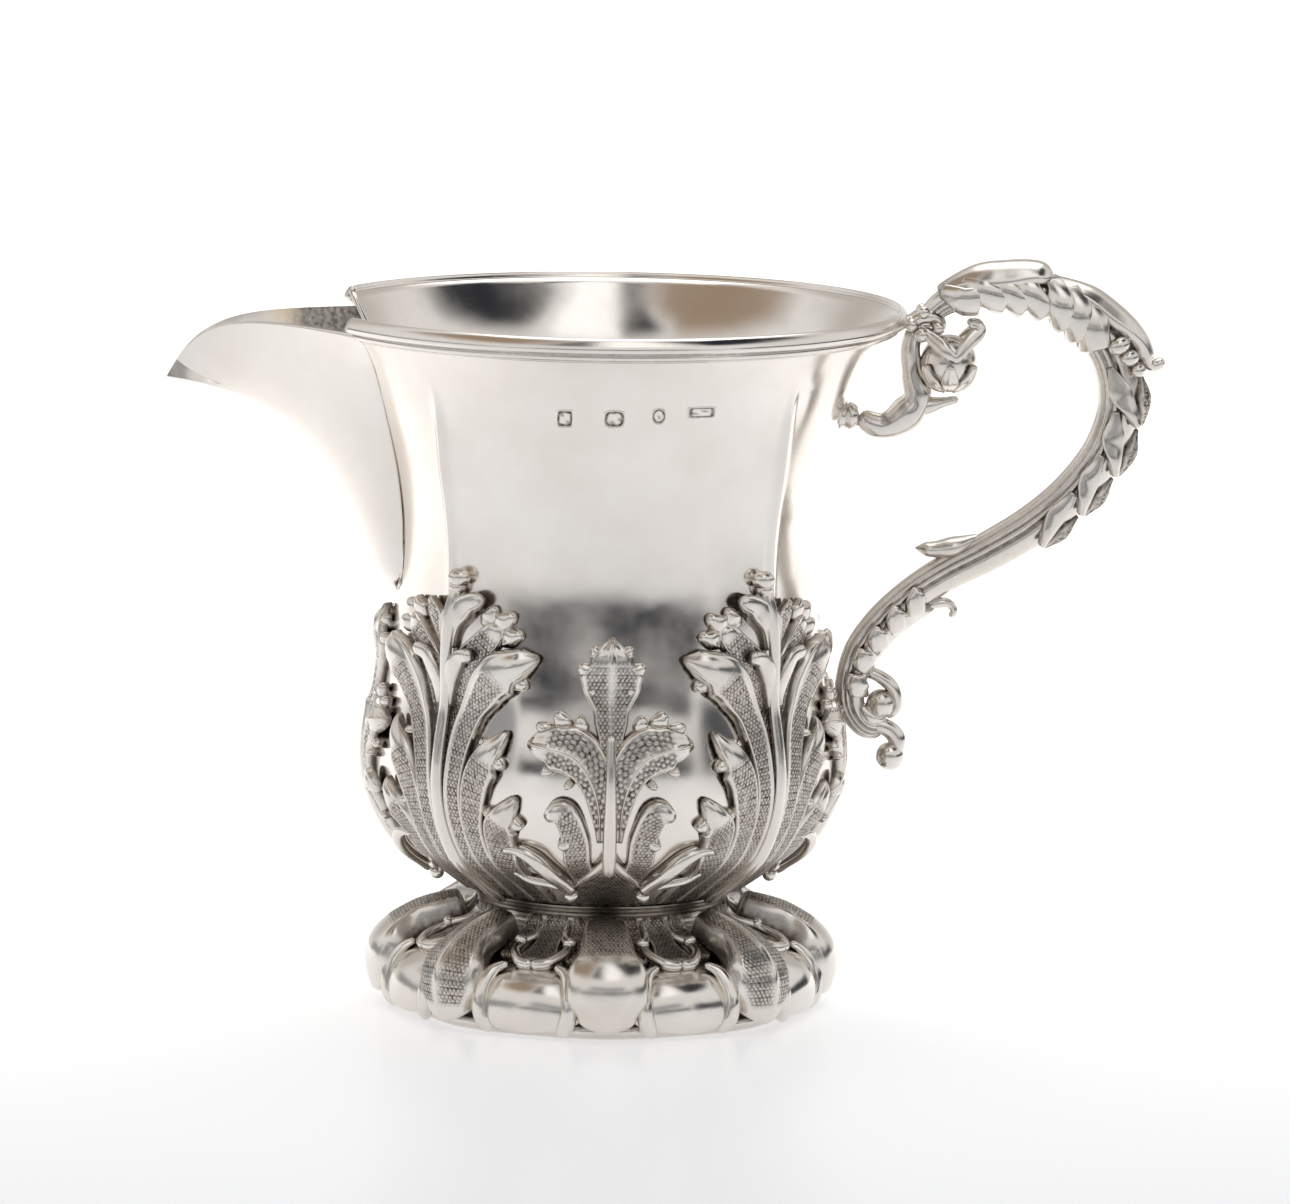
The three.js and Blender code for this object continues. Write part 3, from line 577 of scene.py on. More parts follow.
# ---------------------------------------------------------------- the body
@dataclass
class Vessel:
    """The body sheet with its four ridges, the soldered spout, the rim moulding and the punched marks."""

    outline: Pairs = (
        (18.8, 17.3), (24.4, 21.43), (29.72, 26.24), (32.8, 34.5), (31.2, 49.3), (29.6, 66.0),
        (30.576, 75.92), (33.02, 84.81), (36.68, 93.36), (41.8, 100.2),
    )
    wall: float = 0.9
    rim_height: float = 100.2
    ridge_rise: float = 0.075
    ridge_start: float = 45.0
    ridge_end: float = 93.0
    rib_height: float = 0.42  # the narrow crest on each ridge
    rib_half: float = 0.75
    spout_foot: float = 59.9
    spout_reach: float = 62.9
    spout_tip: float = 90.0
    mouth_angle: float = 27.0
    keel: Pairs = ((0, 0), (0.1, 0.11), (0.15, 0.26), (0.25, 0.5), (0.43, 0.74), (0.65, 0.9), (0.85, 0.97),
                   (1, 1))
    line: Line = field(init=False)
    keel_line: Line = field(init=False)

    def __post_init__(self) -> None:
        """Draws the outline and the keel."""
        self.line = Line(self.outline)
        self.keel_line = Line(self.keel)

    def along(self, height: np.ndarray) -> np.ndarray:
        """How far up the outline a height is, in mm."""
        return np.interp(height, self.line.points[:, 1], self.line.run)

    def radius_at(self, height: np.ndarray) -> np.ndarray:
        """The body's radius at a height, between its ridges."""
        return np.interp(height, self.line.points[:, 1], self.line.points[:, 0])

    def ridge(self, angle: np.ndarray, height: np.ndarray, radius: np.ndarray) -> np.ndarray:
        """Works out how far the ridges stand out.

        Args:
            angle: angles round the jug.
            height: heights in mm.
            radius: the wall's radius there between its ridges.

        Returns:
            How far out the wall is pushed, in mm.
        """
        quarter = np.pi / 2
        off = np.abs(np.mod(angle + quarter / 2, quarter) - quarter / 2)
        share = off / (quarter / 2)
        strength = smooth(height, self.ridge_start, self.ridge_start + 15) * (
            1 - smooth(height, self.ridge_end - 16, self.ridge_end))
        crest = (quarter / 2 - off) * radius
        rib = self.rib_height * np.exp(-((crest / self.rib_half) ** 2)) * smooth(height, 58, 66) * (
            1 - smooth(height, 86, 94))
        return self.ridge_rise * radius * strength * share**3 + rib

    def point(self, along: np.ndarray, angle: np.ndarray, lift: np.ndarray) -> np.ndarray:
        """Finds points on the wall or off it.

        Args:
            along: mm up the outline.
            angle: angles round the jug.
            lift: mm outwards from the wall.

        Returns:
            The points.
        """
        t = along / self.line.length
        at, way = self.line.at(t), self.line.slope(t)
        radius = at[..., 0] + self.ridge(angle, at[..., 1], at[..., 0]) + lift * way[..., 1]
        return ring_points(radius, angle, at[..., 1] - lift * way[..., 0])

    def pattern(self, centre: float) -> Place:
        """Makes the wall a flat sheet to draw on.

        Args:
            centre: the angle of the sheet's middle.

        Returns:
            What turns mm round, up and off the wall into points.
        """

        def place(round_: np.ndarray, along: np.ndarray, lift: np.ndarray) -> np.ndarray:
            """Points from mm round, mm up and mm off the wall."""
            radius = self.line.at(along / self.line.length)[..., 0]
            return self.point(along, centre + round_ / radius, lift)

        return place

    def opening(self, height: np.ndarray) -> np.ndarray:
        """Works out the V that is cut for the spout.

        Args:
            height: heights in mm.

        Returns:
            Half the angle that the V is open there.
        """
        up = np.clip((height - self.spout_foot) / (self.rim_height - self.spout_foot), 0, 1)
        sides = self.mouth_angle * (0.34 + 0.5 * up + 0.16 * up**6)
        return np.radians(sides * np.sqrt(np.clip(up / 0.06, 0, 1)))

    def build_body(self) -> None:
        """Raises the body: one grid round the wall's whole section, cut to a V for the spout."""
        work = Workpiece()
        columns, rows = 304, 124
        spread = np.radians(40)  # how far from the spout the columns are moved over to make room for it

        def shape(u: np.ndarray, v: np.ndarray) -> tuple[np.ndarray, np.ndarray]:
            """Forms the wall.

            Args:
                u: shares round the jug from the spout.
                v: shares up the outside to the rim and back down the inside.

            Returns:
                The points and their tarnish and painted shade.
            """
            panel = np.floor(np.minimum(4 * u + 0.5, 4.5 - 1e-9))
            q = 2 * (4 * u + 0.5 - panel) - 1
            turn = panel * np.pi / 2 + np.pi / 4 * (1.5 * q - 0.5 * q**3)
            outer = v <= 0.5
            climb = np.where(outer, 2 * v, 2 - 2 * v)
            bottom = 0.06  # the share of the climb that crosses the floor of the bowl
            t = np.clip((climb - bottom) / (1 - bottom), 0, 1)
            t = t + 0.02 * np.sin(2 * np.pi * t)
            at, way = self.line.at(t), self.line.slope(t)
            cut = self.opening(at[:, 1]) * (t > 0)
            side = np.minimum(turn, 2 * np.pi - turn)
            opened = np.where(side < spread, cut + side * (spread - cut) / spread, side)
            angle = np.pi + np.where(turn <= np.pi, opened, -opened)
            on_cut = (side < 1e-6) & (cut > 1e-6)
            depth = np.where(outer, 0.0, self.wall)
            depth = np.where(on_cut | (climb > 1 - 1e-6), self.wall / 2, depth)
            share = np.where(climb < bottom, climb / bottom, 1.0)
            radius = at[:, 0] + self.ridge(angle, at[:, 1], at[:, 0]) * (climb >= bottom) - depth * way[:, 1]
            points = ring_points(radius * share, angle,
                                 at[:, 1] + depth * np.where(climb < bottom, 1, way[:, 0]))
            # Painted shade with tarnish, darker towards the bottom: outside just above the foot, inside down
            # into the bowl.
            low = 1 - smooth(points[:, 2], 17, 27)
            stain_and_shade = np.where(outer, 0.3 * low, 0.03 + 0.5 * (1 - smooth(points[:, 2], 18, 50)))
            return points, stain_and_shade

        work.sheet(columns, 2 * rows, shape)
        gaps = [e for e in work.mesh.edges if e.is_boundary]
        bmesh.ops.holes_fill(work.mesh, edges=gaps, sides=6)
        work.finish("bell_body", SHEET, Slot.POLISHED, "body_shell")

    def spout_point(self, up: np.ndarray, side: np.ndarray) -> np.ndarray:
        """Finds points of the spout's outer face.

        Args:
            up: shares from its foot to its lip.
            side: shares across, from -1 at one seam to 1 at the other.

        Returns:
            The points.
        """
        lip_top = self.rim_height - 2.4
        height = mix(self.spout_foot, lip_top, up)
        angle = self.opening(mix(height, self.rim_height, up**6)) + np.radians(0.5)
        edge = self.radius_at(height)
        share = self.keel_line.at(up)
        foot = float(self.radius_at(self.spout_foot))
        keel_x = mix(foot, self.spout_reach, share[:, 0])
        keel_z = mix(self.spout_foot, self.spout_tip, share[:, 1])
        turn = np.abs(side) * np.pi / 2
        beak = up**3
        outward = np.cos(turn) ** mix(1, 2, beak)
        sideways = np.sin(turn) ** mix(1, 2.5, beak)
        drop = outward ** mix(1, 7, beak)
        rise = 0.9 * up**4 * np.sin(np.pi * outward)
        x = -mix(edge * np.cos(angle), keel_x, outward)
        y = -np.sign(side) * edge * np.sin(angle) * sideways
        return np.stack([x, y, mix(height, keel_z, drop) + rise], axis=-1)

    def build_spout(self) -> None:
        """Folds the spout's sheet to its keel and closes its lip with a soft edge."""
        work = Workpiece()
        step = 0.004

        def shape(u: np.ndarray, v: np.ndarray) -> tuple[np.ndarray, np.ndarray]:
            """Forms the sheet.

            Args:
                u: shares from seam to seam.
                v: shares up the outside to the lip and back down the inside.

            Returns:
                The points and their stains.
            """
            side = 2 * u - 1
            climb = np.sin(np.pi * v)
            up = np.clip(np.where(np.abs(v - 0.5) < 1e-6, 1, climb), 0, 1)
            to_up, to_side = np.minimum(up + step, 1), np.minimum(side + step, 1)
            rising = self.spout_point(to_up, side) - self.spout_point(to_up - step, side)
            turning = self.spout_point(up, to_side) - self.spout_point(up, to_side - step)
            inward = np.cross(rising, turning)
            inward /= np.maximum(np.linalg.norm(inward, axis=1, keepdims=True), 1e-9)
            inward = np.where(inward[:, :1] < 0, -inward, inward)
            within = np.where(v > 0.5 + 1e-6, self.wall, 0.0)
            middle = (np.abs(side) > 1 - 1e-6) | (np.abs(v - 0.5) < 1e-6)
            within = np.where(middle, self.wall / 2, within)
            points = self.spout_point(up, side) + inward * within[:, None]
            stain_and_shade = np.where(v > 0.5, 0.05, 0.0) + 0.45 * (1 - smooth(up, 0, 0.06))
            return points, stain_and_shade

        for vert in work.sheet(112, 160, shape):
            # Only the top of the far side keeps its old gilding, which turns to a brown stain near the bowl.
            near = ramp(vert.co.x, -52, -44) * ramp(vert.co.z, 93, 95)
            side = ramp(vert.co.y, 5, 9)
            vert[work.gilt] = 0.7 * near * side * ramp(vert.co.x, -43, -47)
            brown = 0.75 * near * side * ramp(vert.co.x, -47, -43)
            vert[work.stain_and_shade] = max(vert[work.stain_and_shade], brown)
        work.finish("soldered_spout", SHEET, Slot.POLISHED, "spout")

    def build_rim(self) -> None:
        """Draws the rim's reeded wire: a top roll, a hollow, a bead and a fine line."""
        work = Workpiece()
        section = Line([  # mm down from the rim and out from the wall
            (0.3, -0.75), (-0.55, -0.45), (-0.75, 0.35), (-0.3, 1.15), (0.5, 1.35), (1.05, 0.95),
            (1.25, 0.5), (1.6, 0.42), (1.8, 0.75), (2.2, 0.95), (2.55, 0.7), (2.7, 0.42),
            (2.9, 0.55), (3.15, 0.5), (3.3, 0.15), (3.2, -0.2), (1.6, -0.3), (0.3, -0.75),
        ])
        half_gap = np.radians(self.mouth_angle)

        def shape(u: np.ndarray, v: np.ndarray) -> tuple[np.ndarray, np.ndarray]:
            """Forms the wire, closed at its two ends.

            Args:
                u: shares round the mouth from one side of the spout to the other.
                v: shares round the section.

            Returns:
                The points and their tarnish and painted shade.
            """
            angle = np.pi + half_gap + u * (2 * np.pi - 2 * half_gap)
            at = section.at(v)
            end = np.where((u < 1e-6) | (u > 1 - 1e-6), 0.0, 1.0)
            down = mix(1.2, at[:, 0], end)
            out = mix(0.4, at[:, 1], end)
            points = self.point(self.line.length - np.maximum(down, 0), angle, out)
            over = np.minimum(down, 0)
            points[:, 2] -= over
            # Painted shade with tarnish in the hollow and the fine line.
            stain_and_shade = 0.05 + 0.7 * (bump(at[:, 0], 1.4, 0.25) + bump(at[:, 0], 2.72, 0.12)) * (at[:, 1] > 0.2)
            return points, np.clip(stain_and_shade, 0, 0.8)

        work.sheet(240, 56, shape)
        work.finish("rim_wire", SHEET, Slot.POLISHED, "rim_moulding")

    def build_marks(self) -> None:
        """Strikes four plain punches in a row under the rim: worn, and with nothing to read in them."""
        work = Workpiece()
        place = self.pattern(-np.pi / 2)
        punches = (  # mm round, height, half width, half height, and how square its corners are
            (-7.1, 88.9, 1.35, 1.6, 6),
            (-0.2, 89.0, 1.75, 1.6, 3),
            (6.0, 89.4, 1.2, 1.5, 2),
            (12.2, 89.8, 2.5, 1.0, 8),
        )
        for index, (round_, height, half_w, half_h, corner) in enumerate(punches):
            middle = float(self.along(height))

            def shape(u: np.ndarray, v: np.ndarray) -> tuple[np.ndarray, np.ndarray]:
                """Forms one punch: a thrown-up edge round a sunk, worn field.

                Args:
                    u: shares across.
                    v: shares up.

                Returns:
                    The points and their tarnish and painted shade.
                """
                a, b = 2 * u - 1, 2 * v - 1
                inside = (np.abs(a) ** corner + np.abs(b) ** corner) ** (1 / corner)
                worn = np.sin(5 * a + 2.3 * index) * np.sin(6 * b + 1.1 * index + 2 * a)
                raised = 0.1 * bump(inside, 0.82, 0.12) + 0.05 * np.clip(worn, 0, 1) * (inside < 0.7)
                lift = raised + 0.03 - 0.25 * smooth(inside, 0.88, 1.0)
                # Painted shade with tarnish inside the thrown-up edge and in the low parts of the worn field.
                stain_and_shade = 0.95 * bump(inside, 0.66, 0.12) + 0.6 * np.clip(-worn, 0, 1) * (inside < 0.7)
                return place(round_ + a * half_w, middle + b * half_h, lift), np.clip(stain_and_shade, 0, 1)

            work.sheet(30, 30, shape, close=False)
        work.finish("plain_punches", SHEET, Slot.POLISHED)


# ---------------------------------------------------------------- acanthus work
BEAD = 0.58  # mm between the beads of most matting
COARSE_BEAD = 0.8  # mm between the beads of the palmettes' side lobes


@dataclass
class Acanthus:
    """The cast leaves, palmettes and scrolls soldered round the bowl."""

    vessel: Vessel
    side_lobes: tuple[Lobe, ...] = (  # from the lowest to the highest
        Lobe(((6.9, 1.5), (7.9, 8), (8.1, 14), (9.2, 19.4), (12.7, 23.6)),
             ((0, 2.2), (0.4, 2.2), (0.75, 2.0), (1, 1.0)),
             ((0, 2.0), (0.35, 1.6), (0.62, 2.7), (0.78, 2.9), (0.83, 2.0), (1, 1.0)),
             lift=((0, 0.5), (0.6, 0.9), (0.85, 1.6), (1, 1.3)),
             crown=((0, 0), (0.6, 0.2), (0.85, 0.9), (1, 0.7)),
             pitch=BEAD, field=(-0.78, 0.78), reach=(0, 0.84)),
        Lobe(((4.3, 1.5), (4.6, 10), (5.0, 18), (6.6, 25.8), (10.6, 32.8)),
             ((0, 2.0), (0.5, 1.9), (0.8, 2.1), (1, 1.0)),
             ((0, 2.0), (0.5, 1.7), (0.72, 2.5), (0.8, 2.7), (0.85, 1.8), (1, 1.0)),
             lift=((0, 0.6), (0.6, 1.1), (0.88, 1.8), (1, 1.4)),
             crown=((0, 0), (0.65, 0.2), (0.88, 0.9), (1, 0.7)),
             pitch=BEAD, field=(-0.78, 0.76), reach=(0, 0.86)),
        Lobe(((1.2, 33), (2.8, 40.5), (8.5, 47.6)), ((0, 1.6), (0.5, 2.5), (0.85, 2.0), (1, 1.3)),
             ((0, 1.6), (0.5, 2.4), (0.8, 2.1), (1, 1.3)), lift=((0, 0.4), (0.7, 0.8), (1, 1.0)),
             crown=((0, 0), (0.7, 0.2), (1, 0.6)), pitch=BEAD, field=(-0.8, 0.8), reach=(0, 0.88)),
        Lobe(((2.0, 2.5), (2.3, 14), (2.7, 25), (4.6, 33.6), (8.4, 40.0), (14.2, 43.4)),
             ((0, 1.5), (0.45, 1.6), (0.7, 2.2), (0.87, 3.4), (0.95, 2.4), (1, 1.3)),
             ((0, 1.6), (0.45, 1.6), (0.7, 2.0), (0.8, 2.9), (0.86, 3.3), (0.91, 2.3), (1, 1.3)),
             lift=((0, 0.8), (0.5, 1.2), (0.75, 1.6), (0.92, 2.3), (1, 1.9)),
             crown=((0, 0.1), (0.65, 0.2), (0.9, 1.3), (1, 0.9)), pitch=BEAD, field=(-0.5, 0.78),
             reach=(0, 0.88), rim=0.34, tip=0.07),
        Lobe(((0.6, 35.2), (1.4, 39.6), (3.0, 42.4), (5.2, 43.0)), ((0, 0.8), (0.6, 1.3), (1, 1.0)),
             ((0, 0.8), (0.6, 1.3), (1, 1.0)), lift=((0, 1.5), (0.7, 2.1), (1, 2.6)),
             crown=((0, 0.2), (1, 0.5)), rim=0.1, thick=0.7),
    )

    def leaf(self, centre: float, lean: int) -> Workpiece:
        """Casts a large leaf.

        Args:
            centre: the angle of the ridge that it covers.
            lean: the side that its tip leans to, 1 or -1.

        Returns:
            The leaf's mesh.
        """
        work = Workpiece()
        place = self.vessel.pattern(centre)
        base = ((0, 9.0), (0.2, 10.2), (0.42, 9.0), (0.6, 7.2), (0.8, 5.0), (1, 2.2))
        Lobe(((0, 0.4), (0, 18), (0.4 * lean, 36)), base, base, lift=((0, 0.5), (1, 0.5)), rim=0.0,
             pitch=BEAD, field=(-0.95, 0.95), reach=(-0.1, 1.1), free_from=2, stain_and_shade=0.4).add(work, place)
        for lobe in self.side_lobes:
            for part in (lobe, lobe.mirrored()):
                part.add(work, place)
        for side in (-1, 1):
            # Each point's tip in mm round and up, the way that it points, and half its width in mm.
            for round_, along, lean_out, lean_up, size in (
                (13.2, 19.4, 0.9, -0.3, 1.2), (10.8, 27.6, 0.9, -0.3, 1.3), (12.8, 38.8, 0.9, -0.5, 1.4),
                (10.2, 49.2, 0.8, 0.6, 1.6), (7.2, 50.2, 0.4, 0.9, 1.4), (11.6, 46.4, 0.95, 0.3, 1.5),
                (8.6, 21.0, 0.8, -0.2, 0.7), (7.6, 30.7, 0.8, -0.2, 0.7),
            ):
                add_scallop(work, place, (side * round_, along), (side * lean_out, lean_up), size)
        collar = Lobe(((0.8, 43.6), (1.5, 47.6), (3.5, 50.0), (6.3, 51.2)),
                      ((0, 1.1), (0.55, 1.9), (0.85, 1.4), (1, 0.8)),
                      ((0, 1.0), (0.55, 1.9), (0.85, 1.4), (1, 0.8)), lift=((0, 1.3), (0.6, 2.0), (1, 2.6)),
                      crown=((0, 0), (0.8, 0.4), (1, 0.3)), rim=0.35, thick=0.8)
        far = Lobe(((0.2, 44.2), (-1.2, 47.5), (-3.4, 50.6)), ((0, 0.9), (0.6, 1.5), (1, 0.6)),
                   ((0, 0.8), (0.6, 1.2), (1, 0.6)), lift=((0, 0.8), (1, 1.3)), pitch=BEAD)
        for part in (collar, far):
            (part if lean > 0 else part.mirrored()).add(work, place)
        Bar(((0, 1.0), (0, 12), (0.1 * lean, 26), (0.5 * lean, 38), (1.2 * lean, 46.5), (2.1 * lean, 52.6)),
            ((0, 1.1), (0.4, 0.95), (0.8, 0.75), (1, 0.9)), depth=0.9,
            lift=((0, 0.8), (0.3, 1.3), (0.8, 1.6), (1, 1.7)), stain_and_shade=0.05).add(work, place)
        work.ball(place, (2.3 * lean, 53.9, 1.55), 1.35, fineness=24)
        work.ball(place, (2.0 * lean, 52.4, 1.3), 1.0)
        return work

    def palmette(self, centre: float, head: float = 1.0) -> Workpiece:
        """Casts a palmette: a stem with a five-pointed head, two coarse side lobes and two low curls.

        Args:
            centre: the angle of its middle.
            head: how much of its head's length is kept.

        Returns:
            The palmette's mesh.
        """
        work = Workpiece()
        place = self.vessel.pattern(centre)
        top = 31 + 15.4 * head
        spear = ((0, 1.2), (0.35, 1.6), (0.55, 2.5), (0.72, 4.1), (0.78, 4.4), (0.83, 3.2), (0.89, 3.0),
                 (0.92, 2.1), (1, 1.0))
        Lobe(((0, 22), (0, 32), (0, top)), spear, spear, lift=((0, 0.9), (0.6, 1.2), (0.9, 1.6), (1, 1.3)),
             pitch=BEAD, crown=((0, 0), (0.7, 0.1), (0.85, 0.7), (1, 0.5)), field=(-0.84, 0.84), vein=0.35,
             reach=(0, 0.86)).add(work, place)
        side_lobe = Lobe(
            ((1.3, 17), (1.9, 24), (4.8, 29.2), (11.7, 31.3)),
            ((0, 0.6), (0.3, 1.1), (0.5, 3.8), (0.7, 4.6), (0.8, 3.7), (0.92, 2.4), (1, 1.0)),
            ((0, 0.5), (0.35, 1.6), (0.7, 2.8), (0.8, 2.9), (0.85, 1.9), (1, 1.0)),
            lift=((0, 0.7), (0.6, 1.3), (0.85, 1.8), (1, 1.3)),
            crown=((0, 0), (0.6, 0.4), (0.9, 0.9), (1, 0.6)),
            pitch=COARSE_BEAD, field=(-0.82, 0.8), vein=0.4, reach=(0.1, 0.86))
        curl = Lobe(((2.6, 8.6), (4.2, 13), (4.8, 18.0), (6.6, 22.0), (9.2, 21.0)),
                    ((0, 1.7), (0.5, 2.1), (0.8, 2.0), (1, 0.9)),
                    ((0, 1.8), (0.5, 2.1), (0.75, 1.9), (1, 0.9)),
                    lift=((0, 0.5), (0.6, 1.0), (0.9, 1.6), (1, 1.3)),
                    crown=((0, 0), (0.5, 0.3), (0.85, 0.9), (1, 0.6)),
                    pitch=BEAD, field=(-0.72, 0.8), reach=(0.02, 0.86))
        toe = Lobe(((0.2, 15), (1.6, 12.2), (4.3, 8.2)), ((0, 0.7), (0.5, 0.9), (1, 0.6)),
                   ((0, 0.7), (0.5, 0.9), (1, 0.6)), lift=((0, 1.2), (1, 0.7)), crown=((0, 0.3), (1, 0.3)),
                   rim=0.0)
        ground = ((0, 5.6), (0.5, 5.0), (1, 1.6))
        Lobe(((0, 0.4), (0, 6), (0, 11.2)), ground, ground, lift=((0, 0.4), (1, 0.4)), rim=0.0, pitch=BEAD,
             crown=((0, 0), (1, 0)), field=(-0.96, 0.96), reach=(-0.1, 1.1), free_from=2,
             stain_and_shade=0.2).add(work, place)
        for lobe in (side_lobe, curl, toe):
            for part in (lobe, lobe.mirrored()):
                part.add(work, place)
        for side in (-1, 1):
            tips = [(10.3, 34.2, 0.75, 0.6, 1.3), (7.5, 36.0, 0.45, 0.9, 1.4), (4.3, 35.5, 0.1, 1.0, 1.2),
                    (7.2, 17.2, 0.95, 0.2, 1.0), (9.6, 27.0, 0.8, -0.5, 0.9), (6.4, 25.2, 0.7, -0.6, 0.7)]
            if head > 0.9:
                tips += [(4.6, 42.6, 0.8, 0.6, 1.3), (2.7, 45.2, 0.5, 0.85, 1.1), (0, 46.6, 0.0, 1.0, 1.1),
                         (3.2, 39.0, 0.9, 0.3, 0.7)]
            for round_, along, lean_out, lean_up, size in tips:
                add_scallop(work, place, (side * round_, along), (side * lean_out, lean_up), size)
        Bar(((0, 11.6), (0, 22), (0, 33)), ((0, 1.1), (0.3, 0.95), (1, 0.6)), lift=((0, 1.0), (1, 1.5)),
            stain_and_shade=0.05, sides=24).add(work, place)
        return work

    def scroll(self, centre: float, side: int) -> Workpiece:
        """Casts a C-scroll beside a palmette, with a knob at its lower end and a crescent below it.

        Args:
            centre: the angle of the palmette's middle.
            side: the side of the palmette, 1 or -1.

        Returns:
            The scroll's mesh.
        """
        work = Workpiece()
        place = self.vessel.pattern(centre)
        stem = ((15.2, 15.6), (13.2, 15.8), (10.4, 14.6), (7.2, 10.8), (4.8, 6.9))
        crescent = ((13.6, 11.2), (11.4, 9.2), (8.4, 8.3), (6.2, 7.2))
        upper, lower = ([(side * r, s) for r, s in curve] for curve in (stem, crescent))
        Bar(upper, ((0, 0.5), (0.4, 0.95), (0.8, 0.8), (1, 0.9)),
            lift=((0, 1.0), (0.5, 1.5), (1, 1.2))).add(work, place)
        Bar(lower, ((0, 0.35), (0.5, 0.6), (1, 0.5)), lift=((0, 0.7), (1, 0.8))).add(work, place)
        work.ball(place, (side * 4.9, 5.9, 1.2), 1.0, fineness=16)
        return work

    def build(self) -> None:
        """Casts every ornament once and sets it in each of its places."""
        leaf = self.leaf(-np.pi / 4, -1)
        ridges = {"front_right": Matrix.Identity(4), "front_left": MIRROR_X, "back_right": MIRROR_Y,
                  "back_left": HALF_TURN}
        for name, move in ridges.items():
            leaf.copy(move).finish(f"acanthus_{name}", CASTING, Slot.CAST, f"leaf_{name}")
        palmette = self.palmette(-np.pi / 2)
        for name, turn in (("front", 0), ("back", np.pi), ("spout", -np.pi / 2)):
            turned = palmette.copy(Matrix.Rotation(turn, 4, "Z"))
            turned.finish(f"palmette_cast_{name}", CASTING, Slot.CAST, f"palmette_{name}")
        self.palmette(0.0, head=0.0).finish("palmette_cast_handle", CASTING, Slot.CAST, "palmette_handle")
        scrolls = {1: self.scroll(-np.pi / 2, -1), 2: self.scroll(-np.pi / 2, 1)}
        for name, turn in (("front", 0), ("handle", np.pi / 2), ("back", np.pi), ("spout", -np.pi / 2)):
            for index, scroll in scrolls.items():
                turned = scroll.copy(Matrix.Rotation(turn, 4, "Z"))
                turned.finish(f"c_scroll_{name}_{index}", CASTING, Slot.CAST, f"scroll_{name}_{index}")


